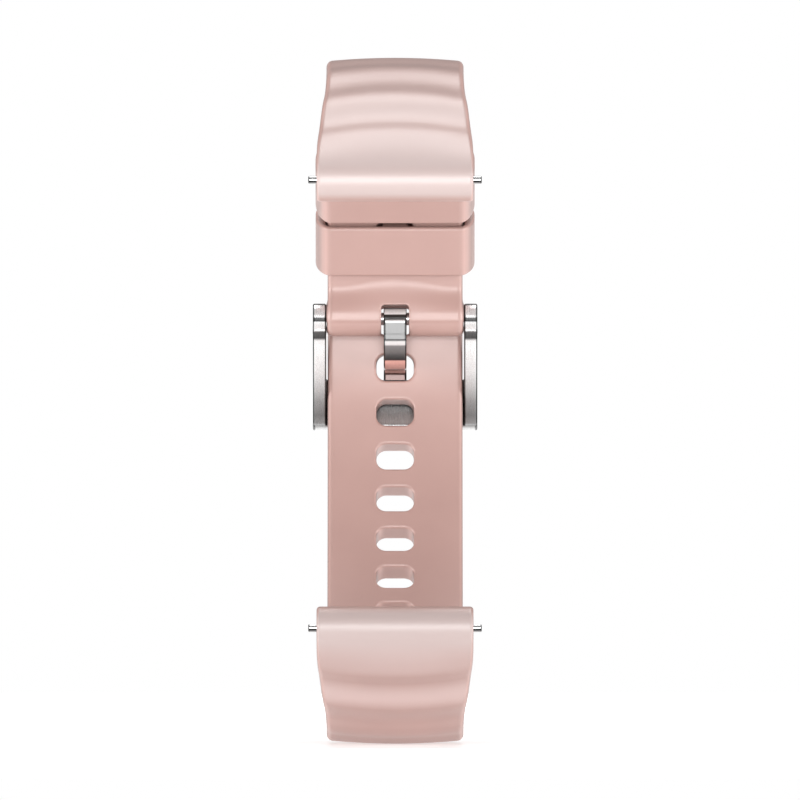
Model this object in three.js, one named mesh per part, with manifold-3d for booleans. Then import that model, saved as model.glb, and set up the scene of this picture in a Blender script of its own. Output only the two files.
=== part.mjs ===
// Fitness tracker band: two silicone straps buckled into a loop, with quick-release spring bars at the
// tracker's end, a tang buckle and two keepers. Millimetres. X runs across the strap, -Y is the front, where
// the tracker sits, and +Z is up. The origin is midway between the two spring bars.
import * as THREE from "three";
import { mergeVertices } from "three/addons/utils/BufferGeometryUtils.js";
import Module from "manifold-3d";

const wasm = await Module();
wasm.setup();

// ---------------------------------------------------------------- driving dimensions
const LUG_WIDTH = 16; // strap width at the tracker
const BAR_SPACING = 45.7; // between the axes of the two spring bars
const STRAP_WIDTH = 14.1; // width away from the lugs
const TAPER_START = 1; // along the strap from the spring bar: where the width starts and stops tapering
const TAPER_END = 19;
const THINNING_LENGTH = 10; // over which the lug thins to the plain strap
const SHORT_THICKNESS = 2.5;
const LONG_THICKNESS = 2.4;
const STRAP_GAP = 0.2; // between the two straps where they lie on each other
const NOSE_RADIUS = 2.2; // the strap's round end about the spring bar
const EDGE_RADIUS = 0.6;
const CROWN = 0.35; // how far the outer face's middle stands above its edges
const CROWN_AT_BACK = 0.3; // share of the crown that is left round the back
const CROWN_FADE_START = 30;
const CROWN_FADE_END = 45;

// The loop's side profile: each strap leaves its spring bar at a lean and follows arcs round the wrist.
const SHORT_LEAN = 38; // degrees from vertical at the spring bar
const LONG_LEAN = 40.4;
const SHORT_LUG_RADIUS = 30;
const LONG_LUG_RADIUS = 31;
const UPPER_BACK_RADIUS = 55;
const UPPER_BACK_END = 117; // headings in degrees: 0 is away from the tracker's middle, 90 is straight back
const BACK_RADIUS = 24; // short strap's middle line, round the back of the wrist
const LOWER_BOTTOM_END = 137;
const LOWER_BACK_RADIUS = 51;
const LOWER_BACK_END = 164;
const SHORT_END = 175.4; // where the buckle bar sits
const TAIL_END = 234; // tail of the long strap, beyond the keepers

// Outer face waves near the lugs
const WAVE_PITCH = 7.5;
const WAVE_DEPTH = 0.36;
const WAVE_ARCH = 0.9; // the grooves bend away from the lug at the middle of the strap
const WAVES_RISE = [2.5, 7]; // where they fade in and out, along the strap
const WAVES_FADE = [19, 25];

// Holes
const HOLE_PITCH = 5;
const HOLE_WIDTH = 3.9;
const HOLE_HEIGHT = 2.9;
const HOLE_CORNER = 1.05;
const TONGUE_HOLE_ANGLE = -7.2; // the tongue's hole, in degrees above the back of the loop's centre
const HOLES_BEFORE_TONGUE = 9; // towards the lug
const HOLES_AFTER_TONGUE = 3; // towards the tail
const CUTTER_REACH = 3; // of the tools that cut through a strap, either way from its middle

// The long strap's tail
const TAIL_ROUNDING = 0.62; // radius as a share of the strap's width

// Spring bars
const BAR_RADIUS = 0.75;
const BAR_WALL = 0.2;
const TIP_RADIUS = 0.4;
const TIP_REACH = 8.85; // half of the length over both tips
const BAR_HALF = 7.35; // half of the tube's length
const BORE_RADIUS = 0.95;
const TUBE_CRIMP = 0.25; // length of the tube's turned-in ends
const SHANK_END = 4.3; // from the middle to where the pins' shanks start
const SHANK_PLAY = 0.05;
const TIP_NOSE = 0.12; // bevel on a pin's end
const RELEASE_TRAVEL = 1.1;
const KNOB_X = 5.6;
const KNOB_RADIUS = 0.6;
const KNOB_TOP = 2.35; // from the bar's axis, just proud of the strap
const NOTCH_HALF = 1.1; // half of the width of the notch that the knob slides in
const STEM_RADIUS = 0.24; // the knob's stem, in a hole of the sliding tip
const STEM_SLOT_HALF = 0.42; // half of the width of the tube's slot for the stem
const SPRING_WIRE = 0.08;
const SPRING_TURNS = 9;

// Buckle
const FRAME_WIDTH = 17.2;
const FRAME_INSIDE = 14.4;
const EAR_RADIUS = 1.6;
const BUCKLE_BAR_RADIUS = 0.65;
const BAR_CLEARANCE = 0.12; // round the buckle bar
const BUCKLE_SHANK_END = 4.6;
const BUCKLE_TIP_LENGTH = 0.85; // that stands in the frame's ear
const SOCKET_DEPTH = 1; // of the ears' blind holes
const SOCKET_RADIUS = 0.42;
const END_RADIUS = 1.85; // short strap's rolled end about the buckle bar
const ROLL_START = 4.2; // before the short strap's end: where it starts to thicken, and where it is full
const ROLL_FULL = 1.2;
const END_OVERHANG = 0.1; // of the rolled end past each side of the strap
const SLOT_WIDTH = 2.9; // in the short strap's end, for the tongue
const SLOT_RISE = 1.75; // the slot's top above the buckle bar
const TONGUE_EYE_WALL = 0.4;
const TONGUE_WIDTH = 2.4;
const TONGUE_THICKNESS = 0.8;
const PLATE_THICKNESS = 1.2;
const PLATE_TOP = 2.35;
const PLATE_BOTTOM = -2.8;

// Keepers
const KEEPER_LENGTH = 5.5;
const KEEPER_WIDTH = 16.6;
const KEEPER_WALL = 0.75;
const KEEPER_CLEARANCE = 0.4; // round the straps
const KEEPER_CORNER = [1.7, 3.2]; // across the strap and through it
const CAVITY_CORNER = [0.4, 0.7];
const KEEPER_GAP = 0.5; // between the two keepers, on the wrist side
const FIXED_KEEPER_ANGLE = 24; // above the back of the loop's centre
const PEG_WIDTH = 2.7; // the fixed keeper's peg, in a slot of the short strap
const PEG_HEIGHT = 1.4;
const PEG_OFFSET = 1.9; // towards the free keeper

// ---------------------------------------------------------------- materials
const silicone = () => new THREE.MeshStandardMaterial({ color: 0xdcb5ad, roughness: 0.55, metalness: 0 });
const chrome = () => new THREE.MeshStandardMaterial({ color: 0xd6d6d8, roughness: 0.12, metalness: 1 });
const brushedSteel = () => new THREE.MeshStandardMaterial({ color: 0xb9b7b6, roughness: 0.32, metalness: 1 });
const springSteel = () => new THREE.MeshStandardMaterial({ color: 0x8d9094, roughness: 0.35, metalness: 1 });

const radians = THREE.MathUtils.degToRad;
const band = new THREE.Group();

// ---------------------------------------------------------------- solids
function solidOf(geometry) {
  const bare = geometry.clone();
  bare.deleteAttribute("normal");
  bare.deleteAttribute("uv");
  const merged = mergeVertices(bare, 1e-4);
  return new wasm.Manifold(
    new wasm.Mesh({
      numProp: 3,
      vertProperties: new Float32Array(merged.attributes.position.array),
      triVerts: new Uint32Array(merged.index.array),
    }),
  );
}

function geometryOf(solid) {
  const mesh = solid.getMesh();
  const geometry = new THREE.BufferGeometry();
  geometry.setAttribute("position", new THREE.BufferAttribute(new Float32Array(mesh.vertProperties), 3));
  geometry.setIndex(new THREE.BufferAttribute(new Uint32Array(mesh.triVerts), 1));
  geometry.computeVertexNormals();
  return geometry;
}

function cut(geometry, tools) {
  return geometryOf(tools.reduce((solid, tool) => solid.subtract(solidOf(tool)), solidOf(geometry)));
}

function join(geometries) {
  const [first, ...rest] = geometries.map(solidOf);
  return geometryOf(rest.reduce((solid, other) => solid.add(other), first));
}

function add(parent, name, geometry, material) {
  const mesh = new THREE.Mesh(geometry, material);
  mesh.name = name;
  parent.add(mesh);
  return mesh;
}

// A cylinder along X between two x values, centred on (y, z).
function rodAlongX(radius, x0, x1, y, z, sides = 20) {
  return new THREE.CylinderGeometry(radius, radius, x1 - x0, sides)
    .rotateZ(-Math.PI / 2)
    .translate((x0 + x1) / 2, y, z);
}

// A turned solid whose axis is X. Each step is [x, radius], and the profile closes on the axis.
function turnedAlongX(steps, sides = 20) {
  const closed = [[steps[0][0], 0], ...steps, [steps.at(-1)[0], 0]];
  const profile = closed.map(([x, r]) => new THREE.Vector2(r, x));
  return new THREE.LatheGeometry(profile, sides).rotateZ(-Math.PI / 2);
}

// A turned ring or tube whose axis is X: the [x, radius] outline closes on itself.
function ringAlongX(outline, sides = 20) {
  const profile = [...outline, outline[0]].map(([x, r]) => new THREE.Vector2(r, x));
  return new THREE.LatheGeometry(profile, sides).rotateZ(-Math.PI / 2);
}

// An outline in the YZ plane, extruded along X between x0 and x1.
function sideExtrusion(points, x0, x1) {
  const shape = new THREE.Shape(points.map(([y, z]) => new THREE.Vector2(y, z)));
  const geometry = new THREE.ExtrudeGeometry(shape, { depth: x1 - x0, bevelEnabled: false });
  const toWorld = new THREE.Matrix4().makeBasis(
    new THREE.Vector3(0, 1, 0),
    new THREE.Vector3(0, 0, 1),
    new THREE.Vector3(1, 0, 0),
  );
  return geometry.applyMatrix4(toWorld).translate(x0, 0, 0);
}

// ---------------------------------------------------------------- the loop's side profile
// A path of arcs and straights in the YZ plane. A heading of 0 runs along +Z, 90 runs along +Y, and a larger
// heading has turned further round the wrist. side = -1 mirrors the path to run down from the lower bar.
function makePath(start, heading, stretches, side) {
  const pieces = [];
  let point = new THREE.Vector2(...start);
  let angle = radians(heading);
  let length = 0;
  for (const { radius, to, straight } of stretches) {
    const piece = { s0: length, point: point.clone(), angle, radius };
    if (straight) {
      point = point.clone().addScaledVector(new THREE.Vector2(Math.sin(angle), Math.cos(angle)), straight);
      length += straight;
    } else {
      const end = radians(to);
      piece.centre = new THREE.Vector2(
        point.x + radius * Math.cos(angle),
        point.y - radius * Math.sin(angle),
      );
      length += radius * (end - angle);
      angle = end;
      point = new THREE.Vector2(
        piece.centre.x - radius * Math.cos(angle),
        piece.centre.y + radius * Math.sin(angle),
      );
    }
    pieces.push(piece);
  }
  const at = (s) => {
    const piece = pieces.findLast((candidate) => s >= candidate.s0) ?? pieces[0];
    const along = s - piece.s0;
    const turned = piece.centre && s > 0 ? piece.angle + along / piece.radius : piece.angle;
    const place =
      piece.centre && s > 0
        ? new THREE.Vector2(
            piece.centre.x - piece.radius * Math.cos(turned),
            piece.centre.y + piece.radius * Math.sin(turned),
          )
        : piece.point
            .clone()
            .addScaledVector(new THREE.Vector2(Math.sin(piece.angle), Math.cos(piece.angle)), along);
    return {
      y: place.x,
      z: side * place.y,
      outward: [-Math.cos(turned), side * Math.sin(turned)],
      along: [Math.sin(turned), side * Math.cos(turned)],
    };
  };
  return { at, length, centre: pieces.at(-1).centre };
}

const halfSpacing = BAR_SPACING / 2;
const shortPath = makePath(
  [0, halfSpacing],
  SHORT_LEAN,
  [
    { radius: SHORT_LUG_RADIUS, to: 90 },
    { radius: UPPER_BACK_RADIUS, to: UPPER_BACK_END },
    { radius: BACK_RADIUS, to: SHORT_END },
  ],
  1,
);
const backCentre = { y: shortPath.centre.x, z: shortPath.centre.y };

// The long strap lies outside the short one round the back, so its last arc has the same centre. The radius
// of its bottom arc and the straight after it are what closes the chain of arcs on that centre.
const longBackRadius = BACK_RADIUS + (SHORT_THICKNESS + LONG_THICKNESS) / 2 + STRAP_GAP;
function closeLowerChain() {
  const sin = (degrees) => Math.sin(radians(degrees));
  const cos = (degrees) => Math.cos(radians(degrees));
  const bottomY = LONG_LUG_RADIUS * cos(LONG_LEAN);
  const bottomZ = halfSpacing + LONG_LUG_RADIUS * (1 - sin(LONG_LEAN));
  const arcStart = LOWER_BACK_RADIUS - longBackRadius;
  const turnY = LOWER_BACK_RADIUS * cos(LOWER_BOTTOM_END) - arcStart * cos(LOWER_BACK_END);
  const turnZ = LOWER_BACK_RADIUS * sin(LOWER_BOTTOM_END) - arcStart * sin(LOWER_BACK_END);
  const neededY = backCentre.y - bottomY - turnY;
  const neededZ = -backCentre.z - bottomZ + turnZ;
  // radius * a + straight * b = needed, in Y and in Z
  const [ay, by] = [-cos(LOWER_BOTTOM_END), sin(LOWER_BOTTOM_END)];
  const [az, bz] = [sin(LOWER_BOTTOM_END) - 1, cos(LOWER_BOTTOM_END)];
  const determinant = ay * bz - az * by;
  return {
    radius: (neededY * bz - neededZ * by) / determinant,
    straight: (ay * neededZ - az * neededY) / determinant,
  };
}
const lowerChain = closeLowerChain();
const longPath = makePath(
  [0, halfSpacing],
  LONG_LEAN,
  [
    { radius: LONG_LUG_RADIUS, to: 90 },
    { radius: lowerChain.radius, to: LOWER_BOTTOM_END },
    { straight: lowerChain.straight },
    { radius: LOWER_BACK_RADIUS, to: LOWER_BACK_END },
    { radius: longBackRadius, to: TAIL_END },
  ],
  -1,
);

// A point at a radius and an angle above the back of the loop's centre.
const backPoint = (radius, degrees) => [
  backCentre.y + radius * Math.cos(radians(degrees)),
  backCentre.z + radius * Math.sin(radians(degrees)),
];

// ---------------------------------------------------------------- straps
const smooth = THREE.MathUtils.smoothstep;
const mix = THREE.MathUtils.lerp;

const widthAt = (s) => mix(LUG_WIDTH, STRAP_WIDTH, smooth(s, TAPER_START, TAPER_END));

// Half of the strap's depth about the path: round about the spring bar, then thinning to the plain strap.
function halfDepth(s, thickness) {
  if (s < 0) return Math.sqrt(Math.max(NOSE_RADIUS ** 2 - s ** 2, 0));
  return mix(NOSE_RADIUS, thickness / 2, smooth(s, 0, THINNING_LENGTH));
}

// The outer face's waves: two arched grooves that fade in after the lug and out after the second ridge.
function waveAt(s, across) {
  const phase = s - WAVE_ARCH * (1 - across ** 2) + WAVE_ARCH / 2;
  const strength = smooth(phase, ...WAVES_RISE) * (1 - smooth(phase, ...WAVES_FADE));
  return (-WAVE_DEPTH * strength * (1 + Math.cos((2 * Math.PI * (phase - WAVE_PITCH)) / WAVE_PITCH))) / 2;
}

// One cross-section as [x, outward] points: a rounded strip with a crowned outer face.
function strapSection(s, thickness, roll) {
  const half = widthAt(s) / 2;
  const depth = halfDepth(s, thickness);
  const inner = -depth - roll(s);
  const rounding = Math.min(EDGE_RADIUS, depth * 0.8);
  const fade = mix(1, CROWN_AT_BACK, smooth(s, CROWN_FADE_START, CROWN_FADE_END));
  const crown = CROWN * smooth(s, 0, THINNING_LENGTH / 2) * fade;
  const points = [];
  const outerSteps = 6;
  for (let i = 0; i <= outerSteps; i++) {
    const across = 1 - (2 * i) / outerSteps;
    const x = across * (half - rounding);
    points.push([x, depth - crown * across ** 2 + waveAt(s, across)]);
  }
  const edgeOut = points.at(-1)[1];
  const corner = Math.SQRT1_2 * rounding;
  points.push([-half + rounding - corner, edgeOut - rounding + corner]);
  points.push([-half, edgeOut - rounding]);
  points.push([-half, inner + rounding]);
  points.push([-half + rounding - corner, inner + rounding - corner]);
  const innerSteps = 4;
  for (let i = 0; i <= innerSteps; i++) {
    points.push([mix(-1, 1, i / innerSteps) * (half - rounding), inner]);
  }
  points.push([half - rounding + corner, inner + rounding - corner]);
  points.push([half, inner + rounding]);
  points.push([half, edgeOut - rounding]);
  points.push([half - rounding + corner, edgeOut - rounding + corner]);
  return points;
}

// Skins a list of equal-length rings of points, and closes both ends with a fan about the ring's middle.
function loft(rings) {
  const count = rings[0].length;
  const positions = rings.flat(2);
  const indices = [];
  for (let ring = 0; ring < rings.length - 1; ring++) {
    for (let i = 0; i < count; i++) {
      const a = ring * count + i;
      const b = ring * count + ((i + 1) % count);
      indices.push(a, b, a + count, b, b + count, a + count);
    }
  }
  for (const [ring, flip] of [
    [rings[0], true],
    [rings.at(-1), false],
  ]) {
    const first = flip ? 0 : (rings.length - 1) * count;
    const centre = positions.length / 3;
    const middle = [0, 1, 2].map((axis) => ring.reduce((sum, point) => sum + point[axis], 0) / count);
    positions.push(...middle);
    for (let i = 0; i < count; i++) {
      const a = first + i;
      const b = first + ((i + 1) % count);
      indices.push(...(flip ? [a, centre, b] : [a, b, centre]));
    }
  }
  const geometry = new THREE.BufferGeometry();
  geometry.setAttribute("position", new THREE.BufferAttribute(new Float32Array(positions), 3));
  geometry.setIndex(indices);
  if (solidOf(geometry).volume() < 0) geometry.index.array.reverse();
  return geometry;
}

function strapBody(path, thickness, stations, roll = () => 0) {
  const rings = stations.map((s) => {
    const { y, z, outward } = path.at(s);
    const section = strapSection(s, thickness, roll);
    return section.map(([x, out]) => [x, y + out * outward[0], z + out * outward[1]]);
  });
  return loft(rings);
}

// Stations along a strap: close together round the nose and the waves, then further apart.
function stationsTo(end) {
  const fineStep = 1;
  const fineEnd = 24;
  const coarseStep = 2.4;
  const stations = [-0.97, -0.85, -0.6, -0.3].map((share) => share * NOSE_RADIUS);
  for (let s = 0; s < fineEnd; s += fineStep) stations.push(s);
  for (let s = fineEnd; s < end - coarseStep / 5; s += coarseStep) stations.push(s);
  return [...stations, end];
}

// A cutter for an adjusting hole that crosses the strap at s: a rectangle with round corners.
function holeCutter(path, s) {
  const { y, z, along } = path.at(s);
  const shape = new THREE.Shape();
  const cornerX = HOLE_WIDTH / 2 - HOLE_CORNER;
  const cornerY = HOLE_HEIGHT / 2 - HOLE_CORNER;
  const quarter = Math.PI / 2;
  shape.moveTo(-cornerX, -HOLE_HEIGHT / 2);
  shape.lineTo(cornerX, -HOLE_HEIGHT / 2);
  shape.absarc(cornerX, -cornerY, HOLE_CORNER, -quarter, 0, false);
  shape.absarc(cornerX, cornerY, HOLE_CORNER, 0, quarter, false);
  shape.absarc(-cornerX, cornerY, HOLE_CORNER, quarter, 2 * quarter, false);
  shape.absarc(-cornerX, -cornerY, HOLE_CORNER, 2 * quarter, 3 * quarter, false);
  const options = { depth: 2 * CUTTER_REACH, bevelEnabled: false, curveSegments: 3 };
  const geometry = new THREE.ExtrudeGeometry(shape, options);
  geometry.translate(0, 0, -CUTTER_REACH);
  const alongAxis = new THREE.Vector3(0, ...along);
  const across = new THREE.Vector3(1, 0, 0);
  const through = new THREE.Vector3().crossVectors(across, alongAxis);
  geometry.applyMatrix4(new THREE.Matrix4().makeBasis(across, alongAxis, through));
  return geometry.translate(0, y, z);
}

// The spring bar's bore, and the notch on the wrist side that the release knob slides in.
function lugCutters(path) {
  const { y, z, outward, along } = path.at(0);
  const bore = rodAlongX(BORE_RADIUS, -LUG_WIDTH, LUG_WIDTH, y, z, 16);
  const notchLow = KNOB_X - RELEASE_TRAVEL - NOTCH_HALF;
  const notchHigh = KNOB_X + NOTCH_HALF;
  const notchDepth = 2 * NOSE_RADIUS;
  const notch = new THREE.BoxGeometry(notchHigh - notchLow, 2 * NOTCH_HALF, notchDepth);
  notch.translate(0, 0, notchDepth / 2);
  const inward = new THREE.Vector3(0, -outward[0], -outward[1]);
  const alongAxis = new THREE.Vector3(0, ...along);
  const across = new THREE.Vector3().crossVectors(alongAxis, inward);
  notch.applyMatrix4(new THREE.Matrix4().makeBasis(across, alongAxis, inward));
  return [bore, notch.translate((notchLow + notchHigh) / 2, y, z)];
}

const buckleBar = (() => {
  const radius = BACK_RADIUS + SHORT_THICKNESS / 2 - END_RADIUS;
  const [y, z] = backPoint(radius, 180 - SHORT_END);
  return { y, z };
})();

// The short strap's end is rolled about the buckle bar, on the wrist side, so its outer face stays flush.
function shortStrap() {
  const end = shortPath.length;
  const extra = 2 * END_RADIUS - SHORT_THICKNESS;
  const roll = (s) => extra * smooth(s, end - ROLL_START, end - ROLL_FULL);
  const stations = stationsTo(end - BUCKLE_BAR_RADIUS);
  const body = strapBody(shortPath, SHORT_THICKNESS, stations, roll);
  const half = STRAP_WIDTH / 2 + END_OVERHANG;
  const rolledEnd = rodAlongX(END_RADIUS, -half, half, buckleBar.y, buckleBar.z, 24);
  const slotHeight = 4 * END_RADIUS;
  const slot = new THREE.BoxGeometry(SLOT_WIDTH, 3 * END_RADIUS, slotHeight);
  slot.translate(0, buckleBar.y, buckleBar.z + SLOT_RISE - slotHeight / 2);
  const boreRadius = BUCKLE_BAR_RADIUS + BAR_CLEARANCE;
  const buckleBore = rodAlongX(boreRadius, -STRAP_WIDTH, STRAP_WIDTH, buckleBar.y, buckleBar.z, 16);
  const keeperStation = end - BACK_RADIUS * radians(FIXED_KEEPER_ANGLE - (180 - SHORT_END));
  const pegSlot = holeCutter(shortPath, keeperStation - PEG_OFFSET);
  return cut(join([body, rolledEnd]), [slot, buckleBore, pegSlot, ...lugCutters(shortPath)]);
}

// Where the tongue's hole sits along the long strap.
const tongueStation = longPath.length - longBackRadius * radians(TAIL_END - 180 - TONGUE_HOLE_ANGLE);

function longStrap() {
  const body = strapBody(longPath, LONG_THICKNESS, stationsTo(longPath.length));
  const holes = [];
  for (let i = -HOLES_BEFORE_TONGUE; i <= HOLES_AFTER_TONGUE; i++) {
    holes.push(holeCutter(longPath, tongueStation + i * HOLE_PITCH));
  }
  // The tail's end is rounded in its own plane.
  const tail = longPath.at(longPath.length);
  const tailRadius = STRAP_WIDTH * TAIL_ROUNDING;
  const outline = new THREE.Shape();
  const reach = STRAP_WIDTH;
  const pastEdge = 1.2;
  const spread = Math.asin(STRAP_WIDTH / 2 / tailRadius) * pastEdge;
  outline.moveTo(-reach, reach / 2);
  outline.lineTo(-tailRadius * Math.sin(spread), tailRadius * (Math.cos(spread) - 1));
  outline.absarc(0, -tailRadius, tailRadius, Math.PI / 2 + spread, Math.PI / 2 - spread, true);
  outline.lineTo(reach, reach / 2);
  const options = { depth: 2 * CUTTER_REACH, bevelEnabled: false, curveSegments: 10 };
  const trim = new THREE.ExtrudeGeometry(outline, options);
  trim.translate(0, 0, -CUTTER_REACH);
  const alongAxis = new THREE.Vector3(0, ...tail.along);
  const across = new THREE.Vector3(1, 0, 0);
  trim.applyMatrix4(new THREE.Matrix4().makeBasis(across, alongAxis, across.clone().cross(alongAxis)));
  trim.translate(0, tail.y, tail.z);
  return cut(body, [trim, ...holes, ...lugCutters(longPath)]);
}

// ---------------------------------------------------------------- keepers
// A rounded rectangle as [x, outward] points, with elliptical corners.
function roundedRing(halfWidth, low, high, [cornerX, cornerOut], cornerSteps) {
  const points = [];
  const corners = [
    [1, high, 0],
    [-1, high, 1],
    [-1, low, 2],
    [1, low, 3],
  ];
  for (const [side, out, quarter] of corners) {
    const towardMiddle = out === high ? -1 : 1;
    for (let i = 0; i <= cornerSteps; i++) {
      const angle = (Math.PI / 2) * (quarter + i / cornerSteps);
      points.push([
        side * (halfWidth - cornerX) + cornerX * Math.cos(angle),
        out + towardMiddle * cornerOut + cornerOut * Math.sin(angle),
      ]);
    }
  }
  return points;
}

// A keeper is a closed silicone loop round both straps. angle is its place round the back of the loop.
const cavityLow = BACK_RADIUS - SHORT_THICKNESS / 2 - KEEPER_CLEARANCE;
const cavityHigh = longBackRadius + LONG_THICKNESS / 2 + KEEPER_CLEARANCE;
const cavityHalf = STRAP_WIDTH / 2 + KEEPER_CLEARANCE / 2;
const keeperStep = 2 * Math.atan((KEEPER_LENGTH + KEEPER_GAP) / 2 / (cavityLow - KEEPER_WALL));
const freeKeeperAngle = FIXED_KEEPER_ANGLE + THREE.MathUtils.radToDeg(keeperStep);

function keeper(angle) {
  const [low, high] = [cavityLow - KEEPER_WALL, cavityHigh + KEEPER_WALL];
  const outer = roundedRing(KEEPER_WIDTH / 2, low, high, KEEPER_CORNER, 4);
  const inner = roundedRing(cavityHalf, cavityLow, cavityHigh, CAVITY_CORNER, 2);
  const shape = new THREE.Shape(outer.map(([x, out]) => new THREE.Vector2(x, out)));
  shape.holes = [new THREE.Path(inner.map(([x, out]) => new THREE.Vector2(x, out)))];
  const geometry = new THREE.ExtrudeGeometry(shape, { depth: KEEPER_LENGTH, bevelEnabled: false });
  geometry.translate(0, 0, -KEEPER_LENGTH / 2);
  const outward = new THREE.Vector3(0, Math.cos(radians(angle)), Math.sin(radians(angle)));
  const across = new THREE.Vector3(1, 0, 0);
  geometry.applyMatrix4(new THREE.Matrix4().makeBasis(across, outward, across.clone().cross(outward)));
  return geometry.translate(0, backCentre.y, backCentre.z);
}

// The fixed keeper has a peg on its wrist-side wall that sits in the short strap's slot.
function fixedKeeper() {
  const pegLength = KEEPER_CLEARANCE + 0.8 * SHORT_THICKNESS;
  const root = KEEPER_WALL / 2; // buried in the keeper's wall
  const peg = new THREE.BoxGeometry(PEG_WIDTH, pegLength + root, PEG_HEIGHT);
  peg.translate(0, cavityLow + (pegLength - root) / 2, PEG_OFFSET);
  const angle = FIXED_KEEPER_ANGLE;
  const outward = new THREE.Vector3(0, Math.cos(radians(angle)), Math.sin(radians(angle)));
  const across = new THREE.Vector3(1, 0, 0);
  peg.applyMatrix4(new THREE.Matrix4().makeBasis(across, outward, across.clone().cross(outward)));
  peg.translate(0, backCentre.y, backCentre.z);
  return join([keeper(angle), peg]);
}

// ---------------------------------------------------------------- buckle
const plateInner = longBackRadius + LONG_THICKNESS / 2 + 0.2;
const plateOuter = plateInner + PLATE_THICKNESS;
const angleAtHeight = (z, radius) => THREE.MathUtils.radToDeg(Math.asin((z - backCentre.z) / radius));

// The rail's side outline: a round ear about the buckle bar, a neck, and a blade that sweeps to the plate.
function railOutline() {
  const plateTop = angleAtHeight(PLATE_TOP, plateOuter);
  const plateBottom = angleAtHeight(PLATE_BOTTOM, plateOuter);
  const frontEdge = new THREE.SplineCurve([
    new THREE.Vector2(buckleBar.y - 1.25, buckleBar.z - 1.2),
    new THREE.Vector2(buckleBar.y - 0.8, buckleBar.z - 2.2),
    new THREE.Vector2(buckleBar.y + 0.05, buckleBar.z - 5),
    new THREE.Vector2(...backPoint(plateInner - 1.9, plateBottom + 4.5)),
    new THREE.Vector2(...backPoint(plateInner - 0.4, plateBottom + 0.4)),
  ]).getPoints(12);
  const backEdge = new THREE.SplineCurve([
    new THREE.Vector2(...backPoint(plateOuter, plateBottom)),
    new THREE.Vector2(...backPoint(plateOuter + 0.15, (plateTop + plateBottom) / 2)),
    new THREE.Vector2(...backPoint(plateOuter - 0.1, plateTop)),
    new THREE.Vector2(buckleBar.y + 2.6, buckleBar.z - 3.2),
    new THREE.Vector2(buckleBar.y + 1.5, buckleBar.z - 0.6),
  ]).getPoints(12);
  return [...frontEdge, ...backEdge].map((point) => [point.x, point.y]);
}

function buckleFrame() {
  const outer = FRAME_WIDTH / 2;
  const inner = FRAME_INSIDE / 2;
  const rails = [-1, 1].flatMap((side) => {
    const [x0, x1] = side < 0 ? [-outer, -inner] : [inner, outer];
    return [
      sideExtrusion(railOutline(), x0, x1),
      rodAlongX(EAR_RADIUS, x0, x1, buckleBar.y, buckleBar.z, 24),
    ];
  });
  const top = angleAtHeight(PLATE_TOP, plateOuter);
  const bottom = angleAtHeight(PLATE_BOTTOM, plateOuter);
  const steps = 6;
  const platePoints = [];
  for (let i = 0; i <= steps; i++) platePoints.push(backPoint(plateOuter, mix(bottom, top, i / steps)));
  for (let i = 0; i <= steps; i++) platePoints.push(backPoint(plateInner, mix(top, bottom, i / steps)));
  const plateInset = 0.1;
  const plate = sideExtrusion(platePoints, -outer + plateInset, outer - plateInset);
  const sockets = [-1, 1].map((side) => {
    const [x0, x1] = side < 0 ? [-inner - SOCKET_DEPTH, 0] : [0, inner + SOCKET_DEPTH];
    return rodAlongX(SOCKET_RADIUS, x0, x1, buckleBar.y, buckleBar.z, 16);
  });
  return cut(join([...rails, plate]), sockets);
}

// The tongue's middle line in the YZ plane: down the wrist side, out through the hole, and over the plate.
function tongueLine() {
  const eyeFront = buckleBar.y - BUCKLE_BAR_RADIUS - BAR_CLEARANCE - TONGUE_THICKNESS / 2;
  const [holeY, holeZ] = backPoint(longBackRadius, TONGUE_HOLE_ANGLE);
  const plateTop = angleAtHeight(PLATE_TOP, plateOuter);
  const above = plateOuter + TONGUE_THICKNESS / 2 + 0.15;
  const overPlate = backPoint(plateOuter - 0.1, plateTop + 3);
  const onPlate = backPoint(above, plateTop - 1.3);
  const tip = backPoint(above, plateTop - 5.3);
  return new THREE.CatmullRomCurve3(
    [
      [eyeFront, buckleBar.z - 0.1],
      [eyeFront, buckleBar.z - 1.6],
      [eyeFront + 0.35, buckleBar.z - 2.6],
      [holeY - 1, holeZ + 0.4],
      overPlate,
      onPlate,
      tip,
    ].map(([y, z]) => new THREE.Vector3(0, y, z)),
    false,
    "centripetal",
  );
}

function buckleTongue() {
  const line = tongueLine();
  const steps = 22;
  const front = [];
  const back = [];
  for (let i = 0; i <= steps; i++) {
    const point = line.getPoint(i / steps);
    const tangent = line.getTangent(i / steps);
    const tipThinning = 0.35 * smooth(i / steps, 0.85, 1);
    const half = (TONGUE_THICKNESS / 2) * (1 - tipThinning);
    front.push([point.y + half * tangent.z, point.z - half * tangent.y]);
    back.push([point.y - half * tangent.z, point.z + half * tangent.y]);
  }
  const halfWidth = TONGUE_WIDTH / 2;
  const shank = sideExtrusion([...front, ...back.reverse()], -halfWidth, halfWidth);
  const eyeRadius = BUCKLE_BAR_RADIUS + BAR_CLEARANCE + TONGUE_EYE_WALL;
  const eye = rodAlongX(eyeRadius, -halfWidth, halfWidth, buckleBar.y, buckleBar.z, 24);
  const boreRadius = BUCKLE_BAR_RADIUS + BAR_CLEARANCE;
  const bore = rodAlongX(boreRadius, -STRAP_WIDTH, STRAP_WIDTH, buckleBar.y, buckleBar.z, 20);
  return cut(join([shank, eye]), [bore]);
}

// ---------------------------------------------------------------- springs and bars
class Helix extends THREE.Curve {
  constructor(x0, x1, radius, turns) {
    super();
    Object.assign(this, { x0, x1, radius, turns });
  }

  getPoint(t, target = new THREE.Vector3()) {
    const angle = 2 * Math.PI * this.turns * t;
    return target.set(mix(this.x0, this.x1, t), this.radius * Math.cos(angle), this.radius * Math.sin(angle));
  }
}

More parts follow.
